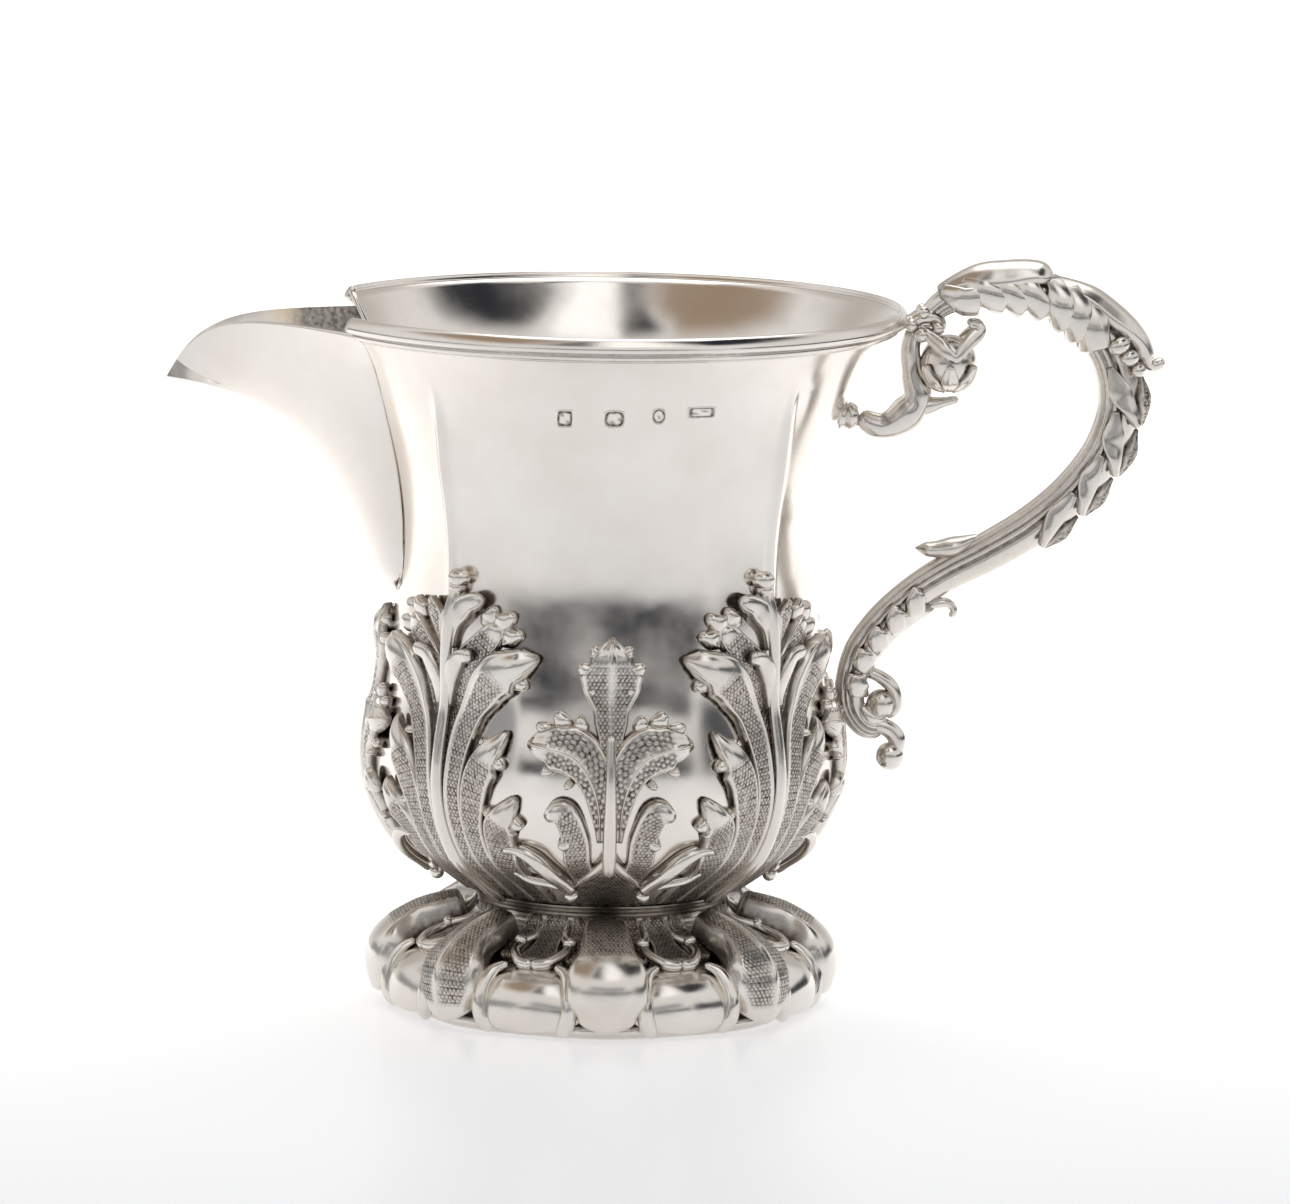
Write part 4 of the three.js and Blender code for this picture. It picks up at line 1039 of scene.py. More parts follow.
# ---------------------------------------------------------------- the foot
@dataclass
class Foot:
    """The hollow foot: a matted neck and shell with smooth swags, eight petals, eight tongues and a ring."""

    shell: Pairs = (
        (18.5, 17.2), (17.7, 15.2), (18.8, 13.0), (22.05, 10.8), (26.3, 8.8), (29.5, 6.4), (30.4, 5.0),
        (29.9, 2.4),
    )
    petal_path: Pairs = (
        (20.0, 16.1), (23.0, 15.3), (27.2, 13.6), (30.3, 11.4), (31.9, 8.8), (32.2, 6.6), (32.1, 4.2),
        (31.6, 2.0), (31.0, 0.9),
    )
    swag_path: Pairs = ((26.0, 10.0), (28.6, 7.6), (30.0, 5.0), (30.0, 2.4), (29.0, 0.6))
    ring_radius: float = 28.8
    ring_width: float = 3.2
    wall: float = 1.0
    count: int = 8  # petals, with as many tongues between them
    sector: float = field(init=False)

    def __post_init__(self) -> None:
        """Works out the angle from one petal to the next."""
        self.sector = 2 * np.pi / self.count

    def pattern(self, line: Line, centre: float) -> Place:
        """Makes a turned surface of the foot a flat sheet to draw on.

        Args:
            line: the surface's outline, from the top down.
            centre: the angle of the sheet's middle.

        Returns:
            What turns mm round, down and off the surface into points.
        """

        def place(round_: np.ndarray, down: np.ndarray, lift: np.ndarray) -> np.ndarray:
            """Points of the sheet.

            Args:
                round_: mm round from the middle.
                down: mm down the outline.
                lift: mm off the surface.

            Returns:
                The points.
            """
            t = down / line.length
            at, way = line.at(t), line.slope(t)
            radius = at[..., 0] - lift * way[..., 1]
            return ring_points(radius, centre + round_ / at[..., 0], at[..., 1] + lift * way[..., 0])

        return place

    def build_shell(self) -> None:
        """Forms the shell, matted at the neck and tucked in under the swags."""
        work = Workpiece()
        line = Line(self.shell)

        def shape(u: np.ndarray, v: np.ndarray) -> tuple[np.ndarray, np.ndarray]:
            """Forms the shell.

            Args:
                u: shares round the jug.
                v: shares down the outside and back up the inside.

            Returns:
                The points and their tarnish and painted shade.
            """
            outer = v <= 0.7
            t = np.where(outer, v / 0.7, (1 - v) / 0.3)
            angle = 2 * np.pi * u
            at, way = line.at(t), line.slope(t)
            tuck = 1.2 * bump(at[:, 1], 4.0, 3.4)
            lift = np.where(outer, -tuck, -self.wall)
            matted = smooth(at[:, 1], 10.0, 12.0)
            lines = np.sin(2 * np.pi * t * line.length / 0.7)
            lift = lift + np.where(outer, 0.05 * lines * matted, 0)
            points = ring_points(at[:, 0] - lift * way[:, 1], angle, at[:, 1] + lift * way[:, 0])
            # Painted shade with tarnish: dark under the swags and over the inside, and in the grooves between
            # the neck's matted lines.
            stain_and_shade = 0.75 - matted * (0.45 + 0.25 * lines)
            return points, np.clip(np.where(outer, stain_and_shade, 0.7), 0, 1)

        work.sheet(256, 160, shape)
        work.finish("foot_wall", GROUND, Slot.MATTED, "foot_shell")

    def build_swags(self) -> None:
        """Bulges the smooth swags out under the tongues, down to the table."""
        work = Workpiece()
        line = Line(self.swag_path)
        half = ((0, 4.4), (0.35, 7.4), (0.75, 8.8), (1, 7.2))
        swag = Lobe(((0, 0.0), (0, line.length / 2), (0, line.length)), half, half,
                    lift=((0, 0.0), (1, 0.0)), rim=0.0,
                    crown=((0, 0.6), (0.5, 1.9), (0.85, 1.8), (1, 0.9)), free_from=-1, thick=2.6, stain_and_shade=0.05,
                    tip=0.2)
        roll = ((3.4, 1.2), (5.4, 2.6), (6.5, 5.2), (6.4, 8.2), (5.0, 10.6))
        for i in range(self.count):
            place = self.pattern(line, (i + 0.5) * self.sector)
            swag.add(work, place)
            for side in (-1, 1):
                edge = [(side * r, s) for r, s in roll]
                Bar(edge, ((0, 0.5), (0.4, 1.1), (0.8, 1.2), (1, 0.8)),
                    lift=((0, 1.3), (0.5, 1.0), (1, 0.6)), step=0.35, sides=14, stain_and_shade=0.05).add(work, place)
        work.finish("foot_swags", CASTING, Slot.CAST)

    def build_ring(self) -> None:
        """Turns the ring that the jug stands on."""
        work = Workpiece()
        r, w = self.ring_radius, self.ring_width
        section = Line([(r - w, 1.0), (r - w, 0.0), (r - 2.4, 0.0), (r - 1.2, 0.0), (r - 0.3, 0.45),
                        (r, 1.2), (r - 0.35, 2.1), (r - 1.6, 2.3), (r - w, 2.1), (r - w, 1.0)])

        def shape(u: np.ndarray, v: np.ndarray) -> tuple[np.ndarray, np.ndarray]:
            """Forms the ring.

            Args:
                u: shares round the jug.
                v: shares round the section.

            Returns:
                The points and their tarnish and painted shade.
            """
            at = section.at(v)
            angle = 2 * np.pi * u
            wave = 0.6 * np.cos(self.count * angle) * smooth(at[:, 0], r - 2.5, r)
            height = np.maximum(at[:, 1], 0)
            # Painted shade with tarnish on the ring's top, under the swags and petals.
            return ring_points(at[:, 0] + wave, angle, height), 0.1 + 0.8 * smooth(height, 1.6, 2.1)

        work.sheet(192, 32, shape)
        work.finish("foot_rim", SHEET, Slot.POLISHED, "foot_ring")

    def petal(self, matted_to: float, vein: float, width: float) -> Workpiece:
        """Forms one petal, arched and smooth on its turned tip.

        Args:
            matted_to: the share of its length that is matted.
            vein: how high its vein stands, in mm.
            width: half its greatest width, in mm.

        Returns:
            The petal's mesh, pointing to +X.
        """
        work = Workpiece()
        line = Line(self.petal_path)
        place = self.pattern(line, 0.0)
        length = line.length
        widths = ((0, 0.5), (0.3, 0.6), (0.62, 0.98), (0.74, 1), (0.88, 0.72), (1, 0.2))
        half = tuple((t, w * width) for t, w in widths)
        Lobe(((0, 0.0), (0, length / 2), (0, length)), half, half,
             lift=((0, -0.4), (0.3, -0.1), (0.7, 0.0), (1, -0.1)), rim=0.2, vein=vein,
             crown=((0, 0.9), (0.4, 1.0), (0.72, 1.8), (1, 1.2)), pitch=BEAD, field=(-0.82, 0.82),
             reach=(-0.1, matted_to), thick=3.2, free_from=-1, stain_and_shade=0.05).add(work, place)
        return work

    def tongue(self) -> Workpiece:
        """Forms one tongue: a matted strip between two rolled edges with knobs, which meet in a U.

        Returns:
            The tongue's mesh, pointing to +X.
        """
        work = Workpiece()
        place = self.pattern(Line(self.shell), 0.0)
        half = ((0, 1.6), (0.5, 2.0), (0.85, 2.9), (1, 2.0))
        Lobe(((0, 1.6), (0, 7), (0, 13.0)), half, half, lift=((0, 0.7), (0.7, 1.2), (1, 1.5)), rim=0.25,
             pitch=BEAD, field=(-0.8, 0.8), reach=(-0.1, 0.95), free_from=0.6, stain_and_shade=0.2).add(work, place)
        roll = ((1.7, 2.2), (2.1, 6.0), (3.4, 8.4), (3.5, 11.0), (2.0, 13.2), (-0.2, 13.7))
        for side in (-1, 1):
            edge = [(side * r, s) for r, s in roll]
            Bar(edge, ((0, 0.4), (0.4, 0.6), (0.8, 0.85), (1, 0.8)), lift=((0, 0.8), (0.5, 1.6), (1, 1.9)),
                step=0.35, sides=14).add(work, place)
            work.ball(place, (side * 3.6, 8.2, 1.7), 1.0)
        return work

    def build_rays(self) -> None:
        """Adds the narrow matted strips that run down from the neck on each side of every tongue."""
        work = Workpiece()
        for i in range(2 * self.count):
            off = (i // 2 + 0.5) * self.sector + (-1) ** i * np.radians(11.5)
            place = self.pattern(Line(self.shell), off)
            half = ((0, 1.2), (0.5, 1.6), (1, 1.7))
            Lobe(((0, 1.6), (0, 6), (0, 11.5)), half, half, lift=((0, 0.4), (1, 0.9)), rim=0.3, pitch=BEAD,
                 field=(-0.8, 0.8), reach=(-0.1, 1.1), free_from=2, stain_and_shade=0.25).add(work, place)
        work.finish("foot_rays", GROUND, Slot.MATTED)

    def build(self) -> None:
        """Builds the foot's pieces and sets each one in its places."""
        self.build_shell()
        self.build_swags()
        self.build_rays()
        self.build_ring()
        # Every second petal is broad with a smooth tip, and the others are veined and matted nearly all over.
        petals = (self.petal(0.5, 0.0, 6.6), self.petal(0.86, 0.3, 5.6))
        tongue = self.tongue()
        for i in range(self.count):
            turn = Matrix.Rotation(i * self.sector, 4, "Z")
            petals[i % 2].copy(turn).finish(f"petal_{i + 1}", CASTING, Slot.CAST, f"foot_petal_{i + 1}")
            turn = Matrix.Rotation((i + 0.5) * self.sector, 4, "Z")
            tongue.copy(turn).finish(f"tongue_{i + 1}", CASTING, Slot.CAST, f"foot_tongue_{i + 1}")


# ---------------------------------------------------------------- the handle
@dataclass
class Handle:
    """The cast scroll handle: a reeded stem with leaves, husks, a bud, a branch and a scrolled tail."""

    stem_path: Pairs = (
        (44.3, 98.4), (47.5, 101.6), (52.4, 103.3), (58.2, 103.4), (64.2, 101.8), (69.2, 98.1), (72.2, 92.9),
        (72.8, 87), (70.9, 80.8), (66.4, 74.7), (60.6, 69.7), (54.4, 65.9), (48.4, 62.7), (43.4, 59.3),
        (39.2, 55.3), (36.3, 51.1), (35.2, 47.1), (35.4, 43.4), (37.3, 40.7), (40.2, 40),
    )
    half_width: float = 3.1
    half_depth: float = 2.7
    share: Pairs = ((0, 0.5), (0.1, 0.8), (0.33, 1), (0.58, 0.95), (0.8, 0.8), (0.91, 0.7), (0.97, 0.58),
                    (1, 0.5))
    bud_out: float = 48.4  # the bud's middle, from the jug's axis
    bud_up: float = 93.1
    bud_radius: float = 4.0
    husk_start: float = 35.6  # mm down the stem
    husk_gap: float = 6.75
    stem: Line = field(init=False)

    def __post_init__(self) -> None:
        """Draws the stem's centre line."""
        self.stem = Line(self.stem_path)

    def on_bud(self, side: int) -> Place:
        """Makes one side of the bud a flat sheet to draw on.

        Args:
            side: 1 for the front of the jug, -1 for its back.

        Returns:
            What turns mm round, up and off the bud into points.
        """
        radius = self.bud_radius

        def place(round_: np.ndarray, along: np.ndarray, lift: np.ndarray) -> np.ndarray:
            """Points of the sheet.

            Args:
                round_: mm round from the middle.
                along: mm up from the middle.
                lift: mm off the bud.

            Returns:
                The points.
            """
            turn, rise, out = round_ / radius, along / radius, radius + lift
            depth = -side * out * np.cos(turn) * np.cos(rise)
            outward = self.bud_out + out * np.sin(turn) * np.cos(rise)
            return np.stack([outward, depth, self.bud_up + out * np.sin(rise)], axis=-1)

        return place

    @staticmethod
    def plane(x: np.ndarray, z: np.ndarray, depth: np.ndarray) -> np.ndarray:
        """The handle's own plane: out from the axis, up, and across the jug."""
        return np.stack([x, depth, z], axis=-1)

    def skin(self, round_: np.ndarray, along: np.ndarray, lift: np.ndarray) -> np.ndarray:
        """Makes the stem's surface a flat sheet to draw on.

        Args:
            round_: mm round from its outer side.
            along: mm down its length.
            lift: mm off its surface.

        Returns:
            The points.
        """
        t = along / self.stem.length
        at, way = self.stem.at(t), self.stem.slope(t)
        size = taper(self.share, t)
        angle = round_ / (0.5 * (self.half_width + self.half_depth) * size)
        outward = (self.half_width * size + lift) * np.cos(angle)
        depth = (self.half_depth * size + lift) * np.sin(angle)
        return self.plane(at[:, 0] - way[:, 1] * outward, at[:, 1] + way[:, 0] * outward, -depth)

    def build_stem(self) -> None:
        """Casts the stem, with reeds along its inner side."""
        work = Workpiece()
        half = tuple((t, s * self.half_width) for t, s in self.share)
        Bar(self.stem_path, half, depth=self.half_depth / self.half_width,
            grooves=((0.74, 0.1, 0.07), (0.42, 0.17, 0.08), (0.0, 0.2, 0.12)), sides=96, step=0.5,
            ends=0.02).add(work, self.plane)
        work.finish("reeded_stem", CASTING, Slot.CAST, "handle_stem")

    def add_pair(self, work: Workpiece, lobe: Lobe) -> None:
        """Adds a lobe to the front and the back of the handle."""
        lobe.add(work, self.skin)
        lobe.mirrored().add(work, self.skin)

    def build_top_leaf(self) -> None:
        """Casts the leaf over the top of the stem, with four lobes on each side."""
        work = Workpiece()
        top = ((0, 2.2), (0.5, 3.6), (1, 2.6))
        Lobe(((0, 4.6), (0, 12), (0, 19.8)), top, top, lift=((0, 0.5), (0.5, 1.4), (0.85, 1.8), (1, 1.2)),
             crown=((0, 0.2), (1, 0.5)), rim=0.25, free_from=0.95).add(work, self.skin)
        half = ((0, 0.8), (0.5, 1.5), (0.9, 1.7), (1, 1.1))
        # Where each lobe starts and ends down the stem, and how far round it reaches.
        for start, end, reach in ((5.0, 10.0, 4.6), (8.0, 14.0, 5.2), (11.5, 17.0, 5.8), (14.5, 20.4, 5.9)):
            path = ((-1.2, start), (-3.6, (start + end) / 2 - 0.5), (-reach, end))
            self.add_pair(work, Lobe(path, half, half, lift=((0, 0.9), (0.5, 1.3), (0.9, 1.2), (1, 0.9)),
                                     crown=((0, 0.2), (0.8, 0.7), (1, 0.6)), rim=0.1, free_from=2,
                                     root=-0.6))
        work.finish("top_leaf", CASTING, Slot.CAST, "handle_top_leaf")

    def build_crown_leaf(self) -> None:
        """Casts the leaf over the bend of the stem, with three lobes and three berries on each side."""
        work = Workpiece()
        crown = ((0, 2.6), (0.5, 3.2), (1, 1.5))
        Lobe(((0, 19.6), (0, 27), (0, 35.4)), crown, crown,
             lift=((0, 0.6), (0.4, 1.6), (0.85, 2.4), (1, 2.2)), crown=((0, 0.2), (1, 0.5)), rim=0.3,
             free_from=0.85).add(work, self.skin)
        half = ((0, 1.0), (0.5, 1.7), (0.9, 2.0), (1, 1.3))
        for start, end, reach in ((19.4, 24.6, 6.4), (22.0, 27.6, 6.7), (24.6, 30.4, 6.2)):
            path = ((-1.4, start), (-3.9, (start + end) / 2 - 0.6), (-reach, end))
            self.add_pair(work, Lobe(path, half, half, lift=((0, 1.1), (0.5, 1.6), (0.9, 1.3), (1, 0.9)),
                                     crown=((0, 0.2), (0.8, 0.8), (1, 0.6)), rim=0.1, free_from=2,
                                     root=-0.6))
        for round_, along, radius in ((-3.4, 31.4, 1.15), (-2.9, 33.4, 1.0), (-2.3, 35.2, 0.85)):
            for side in (-1, 1):
                work.ball(self.skin, (side * round_, along, 1.1), radius)
        work.finish("crown_leaf", CASTING, Slot.CAST, "handle_crown_leaf")

    def build_spur(self) -> None:
        """Casts the spur that the crown leaf ends in."""
        work = Workpiece()
        path = ((74.6, 97.6), (76.0, 94.6), (77.6, 93.0), (79.3, 93.7))
        Bar(path, ((0, 1.2), (0.5, 1.3), (0.8, 0.9), (1, 0.8)), depth=1.3, ends=0.1,
            step=0.2).add(work, self.plane)
        work.finish("spur", CASTING, Slot.CAST, "handle_spur")

    def build_husks(self) -> None:
        """Casts the husks that follow one another down the back of the stem, each smaller than the last."""
        for i in range(4):
            work = Workpiece()
            start = self.husk_start + i * self.husk_gap
            size = 1 - 0.06 * i
            half = ((0, 0.5), (0.45, 1.55 * size), (1, 0.4))
            path = ((-5.4 * size, start - 2.0), (-4.6 * size, start + 2.2), (-2.3, start + 6.6))
            self.add_pair(work, Lobe(path, half, half, lift=((0, 0.2), (0.5, 0.7), (0.85, 1.3), (1, 1.6)),
                                     crown=((0, 0.2), (1, 0.4)), rim=0.15, thick=0.7, tip=0.05,
                                     free_from=0.75))
            bud = ((0, 1.0), (0.5, 2.4 * size), (1, 1.0))
            Lobe(((0, start), (0, start + 3.4), (0, start + 6.6)), bud, bud,
                 lift=((0, 0.4), (0.5, 1.5), (1, 0.9)), crown=((0, 0), (1, 0)), rim=0, pitch=0.55,
                 field=(-0.9, 0.9), reach=(0, 1), stain_and_shade=0.3).add(work, self.skin)
            work.finish(f"husk_{i + 1}", CASTING, Slot.CAST, f"handle_husk_{i + 1}")

    def build_thorn(self) -> None:
        """Casts the thorn inside the lower bend."""
        work = Workpiece()
        path = ((53.4, 68.2), (49.6, 66.6), (46.6, 66.2), (44.0, 66.4))
        Bar(path, ((0, 0.6), (0.45, 1.5), (0.8, 1.1), (1, 0.4)), depth=1.7, ends=0.15,
            step=0.25).add(work, self.plane)
        work.finish("thorn", CASTING, Slot.CAST, "handle_thorn")

    def build_lower_leaf(self) -> None:
        """Casts the leaf that climbs the lower scroll, with five lobes on each side and a curled tip."""
        work = Workpiece()
        length = self.stem.length
        leaf = ((0, 1.4), (0.2, 3.2), (0.3, 2.6), (0.45, 3.8), (0.55, 3.0), (0.7, 3.7), (0.85, 2.6),
                (1, 1.0))
        path = ((0, 0.93 * length), (0, 0.85 * length), (0, 0.742 * length))
        Lobe(path, leaf, leaf, lift=((0, 0.2), (0.5, 0.5), (0.8, 0.8), (1, 1.2)), rim=0.25,
             free_from=0.95).add(work, self.skin)
        half = ((0, 0.6), (0.5, 1.3), (1, 0.9))
        for i in range(5):
            start = (0.75 + 0.036 * i) * length
            path = ((-0.4, start + 3.4), (-2.2, start + 2.2), (-4.2 + 0.3 * i, start - 0.4))
            self.add_pair(work, Lobe(path, half, half, lift=((0, 0.5), (0.6, 1.2), (1, 0.9)),
                                     crown=((0, 0.2), (1, 0.6)), rim=0.1, free_from=2, root=-0.5))
        curl = ((44.6, 56.6), (47.2, 58.4), (49.2, 58.3), (49.8, 57.2), (49.1, 56.5))
        Bar(curl, ((0, 0.5), (0.5, 0.8), (0.8, 0.6), (1, 0.6)), depth=1.5, ends=0.15,
            step=0.2).add(work, self.plane)
        work.finish("lower_leaf", CASTING, Slot.CAST, "handle_lower_leaf")

    def build_volute(self) -> None:
        """Casts the volute: a ball held by two curls."""
        work = Workpiece()
        work.ball(self.plane, (39.6, 43.8, 0), 2.15, fineness=36)
        outer = ((36.6, 48.6), (38.8, 48.0), (41.2, 46.2), (41.9, 43.6), (40.6, 41.7))
        inner = ((36.4, 43.8), (38.0, 42.0), (40.4, 41.4))
        Bar(outer, ((0, 0.8), (0.4, 1.0), (0.8, 0.8), (1, 0.6)), depth=1.5, ends=0.15,
            step=0.2).add(work, self.plane)
        Bar(inner, ((0, 0.9), (0.5, 1.2), (1, 0.8)), depth=1.4, ends=0.2, step=0.2).add(work, self.plane)
        work.finish("volute", CASTING, Slot.CAST, "handle_volute")

    def build_tail(self) -> None:
        """Casts the tail and its ball."""
        work = Workpiece()
        path = ((37.6, 40.9), (40.6, 40.2), (42.0, 38.6), (41.3, 36.4))
        Bar(path, ((0, 1.0), (0.4, 1.3), (0.8, 1.3), (1, 1.6)), depth=1.0, ends=0.1,
            step=0.25).add(work, self.plane)
        work.ball(self.plane, (41, 36.2, 0), 2.05, fineness=36)
        work.finish("tail_ball", CASTING, Slot.CAST, "handle_tail")

    def build_bud(self) -> None:
        """Casts the bud, with a curl over it and three small leaves under it on each side."""
        work = Workpiece()
        work.ball(self.plane, (self.bud_out, self.bud_up, 0), self.bud_radius + 0.05, fineness=48)
        curl = ((44.4, 98.0), (46.8, 96.0), (49.1, 94.2), (50.7, 96.0), (52.7, 98.2), (51.0, 98.9))
        half = ((0, 0.9), (0.5, 1.5), (1, 0.5))
        for side in (-1, 1):
            Bar(curl, ((0, 0.7), (0.25, 1.1), (0.45, 0.7), (0.75, 1.1), (1, 0.6)), depth=0.6,
                lift=((0, side * 2.0), (0.4, side * 4.1), (1, side * 1.8)), step=0.2).add(work, self.plane)
            place = self.on_bud(side)
            for round_ in (-3.1, 0.0, 3.1):
                Lobe(((0.5 * round_, -5.2), (round_, -2.6), (1.05 * round_, 0.2)), half, half,
                     lift=((0, 0.3), (0.7, 0.7), (1, 0.9)), rim=0.15, vein=0.15, thick=0.6).add(work, place)
        work.finish("bud", CASTING, Slot.CAST, "handle_bud")

    def build_branch(self) -> None:
        """Casts the branch that curls from the bud down to the upper collar, and the leaf on its back."""
        work = Workpiece()
        path = ((43.6, 98.2), (42.9, 95.0), (43.3, 91.4), (44.0, 88.0), (41.8, 85.1), (38.9, 83.9),
                (35.6, 85.3))
        Bar(path, ((0, 1.3), (0.25, 1.5), (0.5, 2.1), (0.62, 2.5), (0.85, 1.8), (1, 1.4)), depth=0.95,
            grooves=((0.5, 0.08, 0.14),), sides=40, step=0.3).add(work, self.plane)
        leaf = ((42.2, 86.0), (46.2, 87.0), (50.0, 87.9))
        Bar(leaf, ((0, 2.2), (0.4, 1.3), (0.8, 0.7), (1, 0.5)), depth=1.1, step=0.3).add(work, self.plane)
        work.finish("branch", CASTING, Slot.CAST, "handle_branch")

    def build_joint_leaf(self) -> None:
        """Casts the small knobbly leaf where the handle meets the rim."""
        work = Workpiece()
        path = ((42.4, 98.2), (44.4, 99.6), (46.6, 99.4), (47.4, 97.4))
        Bar(path, ((0, 1.2), (0.5, 1.3), (0.8, 1.0), (1, 0.8)), depth=1.6, ends=0.2,
            step=0.2).add(work, self.plane)
        knobs = ((42.9, 98.6, 1.7, 1.0), (44.6, 100.4, 1.6, 1.0), (44.4, 97.2, 1.9, 1.1),
                 (46.8, 98.2, 2.0, 0.9))
        for side in (-1, 1):
            for out, up, across, radius in knobs:
                work.ball(self.plane, (out, up, side * across), radius)
        work.finish("joint_leaf", CASTING, Slot.CAST, "handle_rim_leaf")

    def build_collars(self, vessel: Vessel) -> None:
        """Turns the two collars on the body's wall.

        Args:
            vessel: the body that they are soldered to.
        """
        collars = {"upper_collar": (85.3, 2.1, 2.2), "lower_collar": (52.6, 2.2, 1.4)}
        for name, (height, radius, length) in collars.items():
            work = Workpiece()
            start = float(vessel.radius_at(height))
            path = ((start - 0.6, height), (start + length / 2, height), (start + length + 0.4, height))
            half = ((0, radius), (0.35, 0.8 * radius), (0.6, radius * 0.95), (1, 0.7 * radius))
            Bar(path, half, ends=0.12, step=0.15, sides=32).add(work, self.plane)
            work.finish(name, CASTING, Slot.CAST, f"handle_{name}")

    def build(self, vessel: Vessel) -> None:
        """Casts every piece of the handle.

        Args:
            vessel: the body that it is soldered to.
        """
        self.build_stem()
        self.build_top_leaf()
        self.build_crown_leaf()
        self.build_spur()
        self.build_husks()
        self.build_thorn()
        self.build_lower_leaf()
        self.build_volute()
        self.build_tail()
        self.build_bud()
        self.build_branch()
        self.build_joint_leaf()
        self.build_collars(vessel)


# ---------------------------------------------------------------- the studio
@dataclass(frozen=True)
class Card:
    """A dark or bright card that hangs round the table, with its place and its size in degrees."""

    azimuth: float
    elevation: float
    half_width: float
    half_height: float
    soft: float
    colour: str
    power: float = 1.0


@dataclass
class Studio:
    """A white table in a white tent, with a few darker openings that the silver picks up."""

    # The table glows; its near part is painted greyer as shade, and its far part white.
    shaded_near_floor: str = "#CDCFD2"
    far_floor: str = "#FFFFFF"
    floor_glow: float = 0.55
    tent_colour: str = "#F2F1F0"
    tent_power: float = 0.95
    ripple: float = 0.12  # how far the tent's cloth sags, which breaks up straight reflections
    table_radius: float = 6.0  # in metres, as are the lamp's sizes
    lamp_size: float = 1.2
    lamp_power: float = 5.0
    lamp_place: tuple[float, float, float] = (0.1, 0.5, 1.5)
    lamp_aim: tuple[float, float, float] = (0.0, 0.0, 0.05)
    eye: tuple[float, float, float] = (5.6, -1300, 251.4)  # in mm from the jug's axis
    aim: tuple[float, float, float] = (5.6, 0, 58.25)
    turn: float = -2.0  # of the camera round the jug, in degrees
    roll: float = 0.8
    lens: float = 256.73
    cards: tuple[Card, ...] = (
        Card(-90, 1.5, 44, 4.5, 2, "#1B2027"),
        Card(-90, 15, 30, 5, 4, "#8E9197"),
        Card(0, 5, 42, 8, 4, "#3C4046"),
        Card(180, 5, 42, 8, 4, "#9C9DA0"),
        Card(-11, 62, 33, 17, 6, "#22262C"),
        Card(-77, 62, 20, 18, 6, "#FFFFFF", 1.35),
        Card(-111, 62, 10, 15, 4, "#24272B"),
        Card(-165, 60, 36, 16, 9, "#A3907C"),
        Card(90, 30, 50, 18, 12, "#C8C5C0"),
    )

    def build_world(self) -> None:
        """Paints the tent and its cards on the sky."""
        world = bpy.data.worlds.new("tent")
        bpy.context.scene.world = world
        world.use_nodes = True
        tree = world.node_tree
        sky = tree.nodes["Background"]
        way = add_node(tree, "TexCoord").outputs["Generated"]
        ripple = add_node(tree, "TexNoise", Vector=way, Scale=3.5, Detail=3.0).outputs["Color"]
        ripple = add_node(tree, "VectorMath", {"operation": "SUBTRACT"}, _0=ripple,
                          _1=(0.5, 0.5, 0.5)).outputs[0]
        ripple = add_node(tree, "VectorMath", {"operation": "SCALE"}, _0=ripple,
                          Scale=self.ripple).outputs[0]
        way = add_node(tree, "VectorMath", {"operation": "ADD"}, _0=way, _1=ripple).outputs[0]
        way = add_node(tree, "VectorMath", {"operation": "NORMALIZE"}, _0=way).outputs[0]
        split = add_node(tree, "SeparateXYZ", _0=way)
        azimuth = add_node(tree, "Math", {"operation": "ARCTAN2"}, _0=split.outputs[1],
                           _1=split.outputs[0]).outputs[0]
        elevation = add_node(tree, "Math", {"operation": "ARCSINE"}, _0=split.outputs[2]).outputs[0]
        colour = None
        for card in self.cards:
            middle = math.radians(card.azimuth)
            off = add_node(tree, "Math", {"operation": "SUBTRACT"}, _0=azimuth, _1=middle).outputs[0]
            near = add_node(tree, "Math", {"operation": "WRAP"}, _0=off, _1=math.pi, _2=-math.pi).outputs[0]
            masks = []
            for value, middle, half in ((near, 0.0, card.half_width),
                                        (elevation, card.elevation, card.half_height)):
                away = add_node(tree, "Math", {"operation": "SUBTRACT"}, _0=value,
                                _1=math.radians(middle)).outputs[0]
                away = add_node(tree, "Math", {"operation": "ABSOLUTE"}, _0=away).outputs[0]
                masks.append(add_node(tree, "MapRange", {"interpolation_type": "SMOOTHSTEP"}, _0=away,
                                      _1=math.radians(max(half - card.soft, 0)),
                                      _2=math.radians(half + card.soft), _3=1.0, _4=0.0).outputs[0])
            mask = add_node(tree, "Math", {"operation": "MULTIPLY"}, _0=masks[0], _1=masks[1]).outputs[0]
            tone = tuple(c * card.power for c in linear(card.colour)[:3]) + (1.0,)
            base = colour if colour is not None else linear(self.tent_colour)
            colour = add_node(tree, "Mix", {"data_type": "RGBA"}, _0=mask, _6=base, _7=tone).outputs[2]
        tree.links.new(colour, sky.inputs["Color"])
        sky.inputs["Strength"].default_value = self.tent_power

    def build_floor(self) -> None:
        """Lays the pale table under the jug: it glows, and painted shade greys its near part."""
        work = bmesh.new()
        bmesh.ops.create_circle(work, cap_ends=True, segments=96, radius=self.table_radius)
        data = bpy.data.meshes.new("table")
        work.to_mesh(data)
        work.free()
        table = bpy.data.objects.new("table", data)
        bpy.context.scene.collection.objects.link(table)
        made = bpy.data.materials.new("white_table")
        made.use_nodes = True
        tree = made.node_tree
        shader = tree.nodes["Principled BSDF"]
        split = add_node(tree, "SeparateXYZ", _0=add_node(tree, "TexCoord").outputs["Object"])
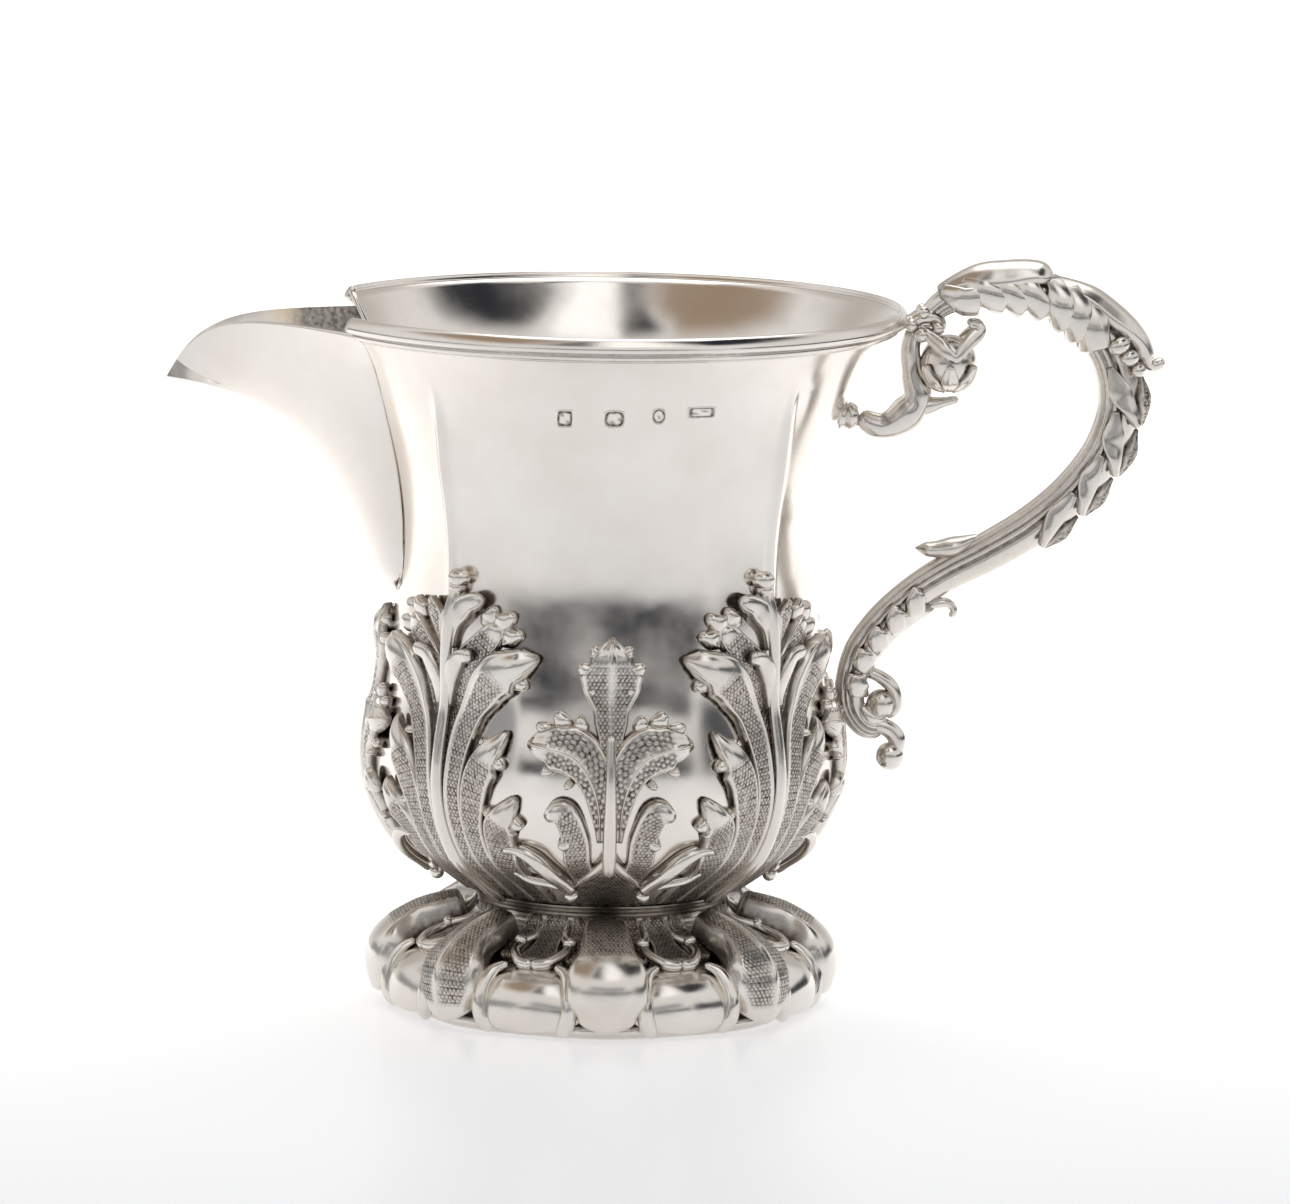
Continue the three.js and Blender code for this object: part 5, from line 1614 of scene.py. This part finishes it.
        # Painted shade: greyer towards the camera, white behind the jug; the same colour glows.
        back = add_node(tree, "MapRange", {"interpolation_type": "SMOOTHSTEP"}, _0=split.outputs[1], _1=-0.2,
                        _2=0.2, _3=0.0, _4=1.0).outputs[0]
        glow = add_node(tree, "Mix", {"data_type": "RGBA"}, _0=back, _6=linear(self.shaded_near_floor),
                        _7=linear(self.far_floor)).outputs[2]
        tree.links.new(glow, shader.inputs["Base Color"])
        tree.links.new(glow, shader.inputs["Emission Color"])
        shader.inputs["Emission Strength"].default_value = self.floor_glow
        shader.inputs["Roughness"].default_value = 0.3
        data.materials.append(made)

    def build_lights(self) -> None:
        """Hangs one broad lamp high behind the jug, for the white of the table and its soft shadow."""
        lamp = bpy.data.lights.new("overhead", "AREA")
        lamp.shape = "SQUARE"
        lamp.size = self.lamp_size
        lamp.energy = self.lamp_power
        made = bpy.data.objects.new("overhead", lamp)
        made.location = self.lamp_place
        made.rotation_euler = (Vector(self.lamp_aim) - made.location).to_track_quat("-Z", "Y").to_euler()
        bpy.context.scene.collection.objects.link(made)

    def build_camera(self) -> None:
        """Sets the camera a little above the jug, far off, with a long lens."""
        turn = Matrix.Rotation(math.radians(self.turn), 4, "Z")
        eye = turn @ Vector(self.eye)
        aim = turn @ Vector(self.aim)
        lens = bpy.data.cameras.new("camera")
        lens.sensor_width = 36.0
        lens.lens = self.lens
        lens.clip_end = 50
        made = bpy.data.objects.new("camera", lens)
        bpy.context.scene.collection.objects.link(made)
        look = (aim - eye).to_track_quat("-Z", "Y").to_matrix().to_4x4()
        made.matrix_world = (Matrix.Translation(eye * MM + Vector((AXIS_X, 0, 0))) @ look
                             @ Matrix.Rotation(math.radians(self.roll), 4, "Z"))
        bpy.context.scene.camera = made

    def build(self) -> None:
        """Sets the studio up."""
        self.build_world()
        self.build_floor()
        self.build_lights()
        self.build_camera()
        bpy.context.scene.view_settings.view_transform = "Standard"


def main() -> None:
    """Builds the jug, then the studio round it."""
    logging.basicConfig(level=logging.INFO, format="%(message)s")
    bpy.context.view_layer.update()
    vessel = Vessel()
    vessel.build_body()
    vessel.build_spout()
    vessel.build_rim()
    vessel.build_marks()
    Acanthus(vessel).build()
    Foot().build()
    Handle().build(vessel)
    Studio().build()


if __name__ == "__main__":
    main()
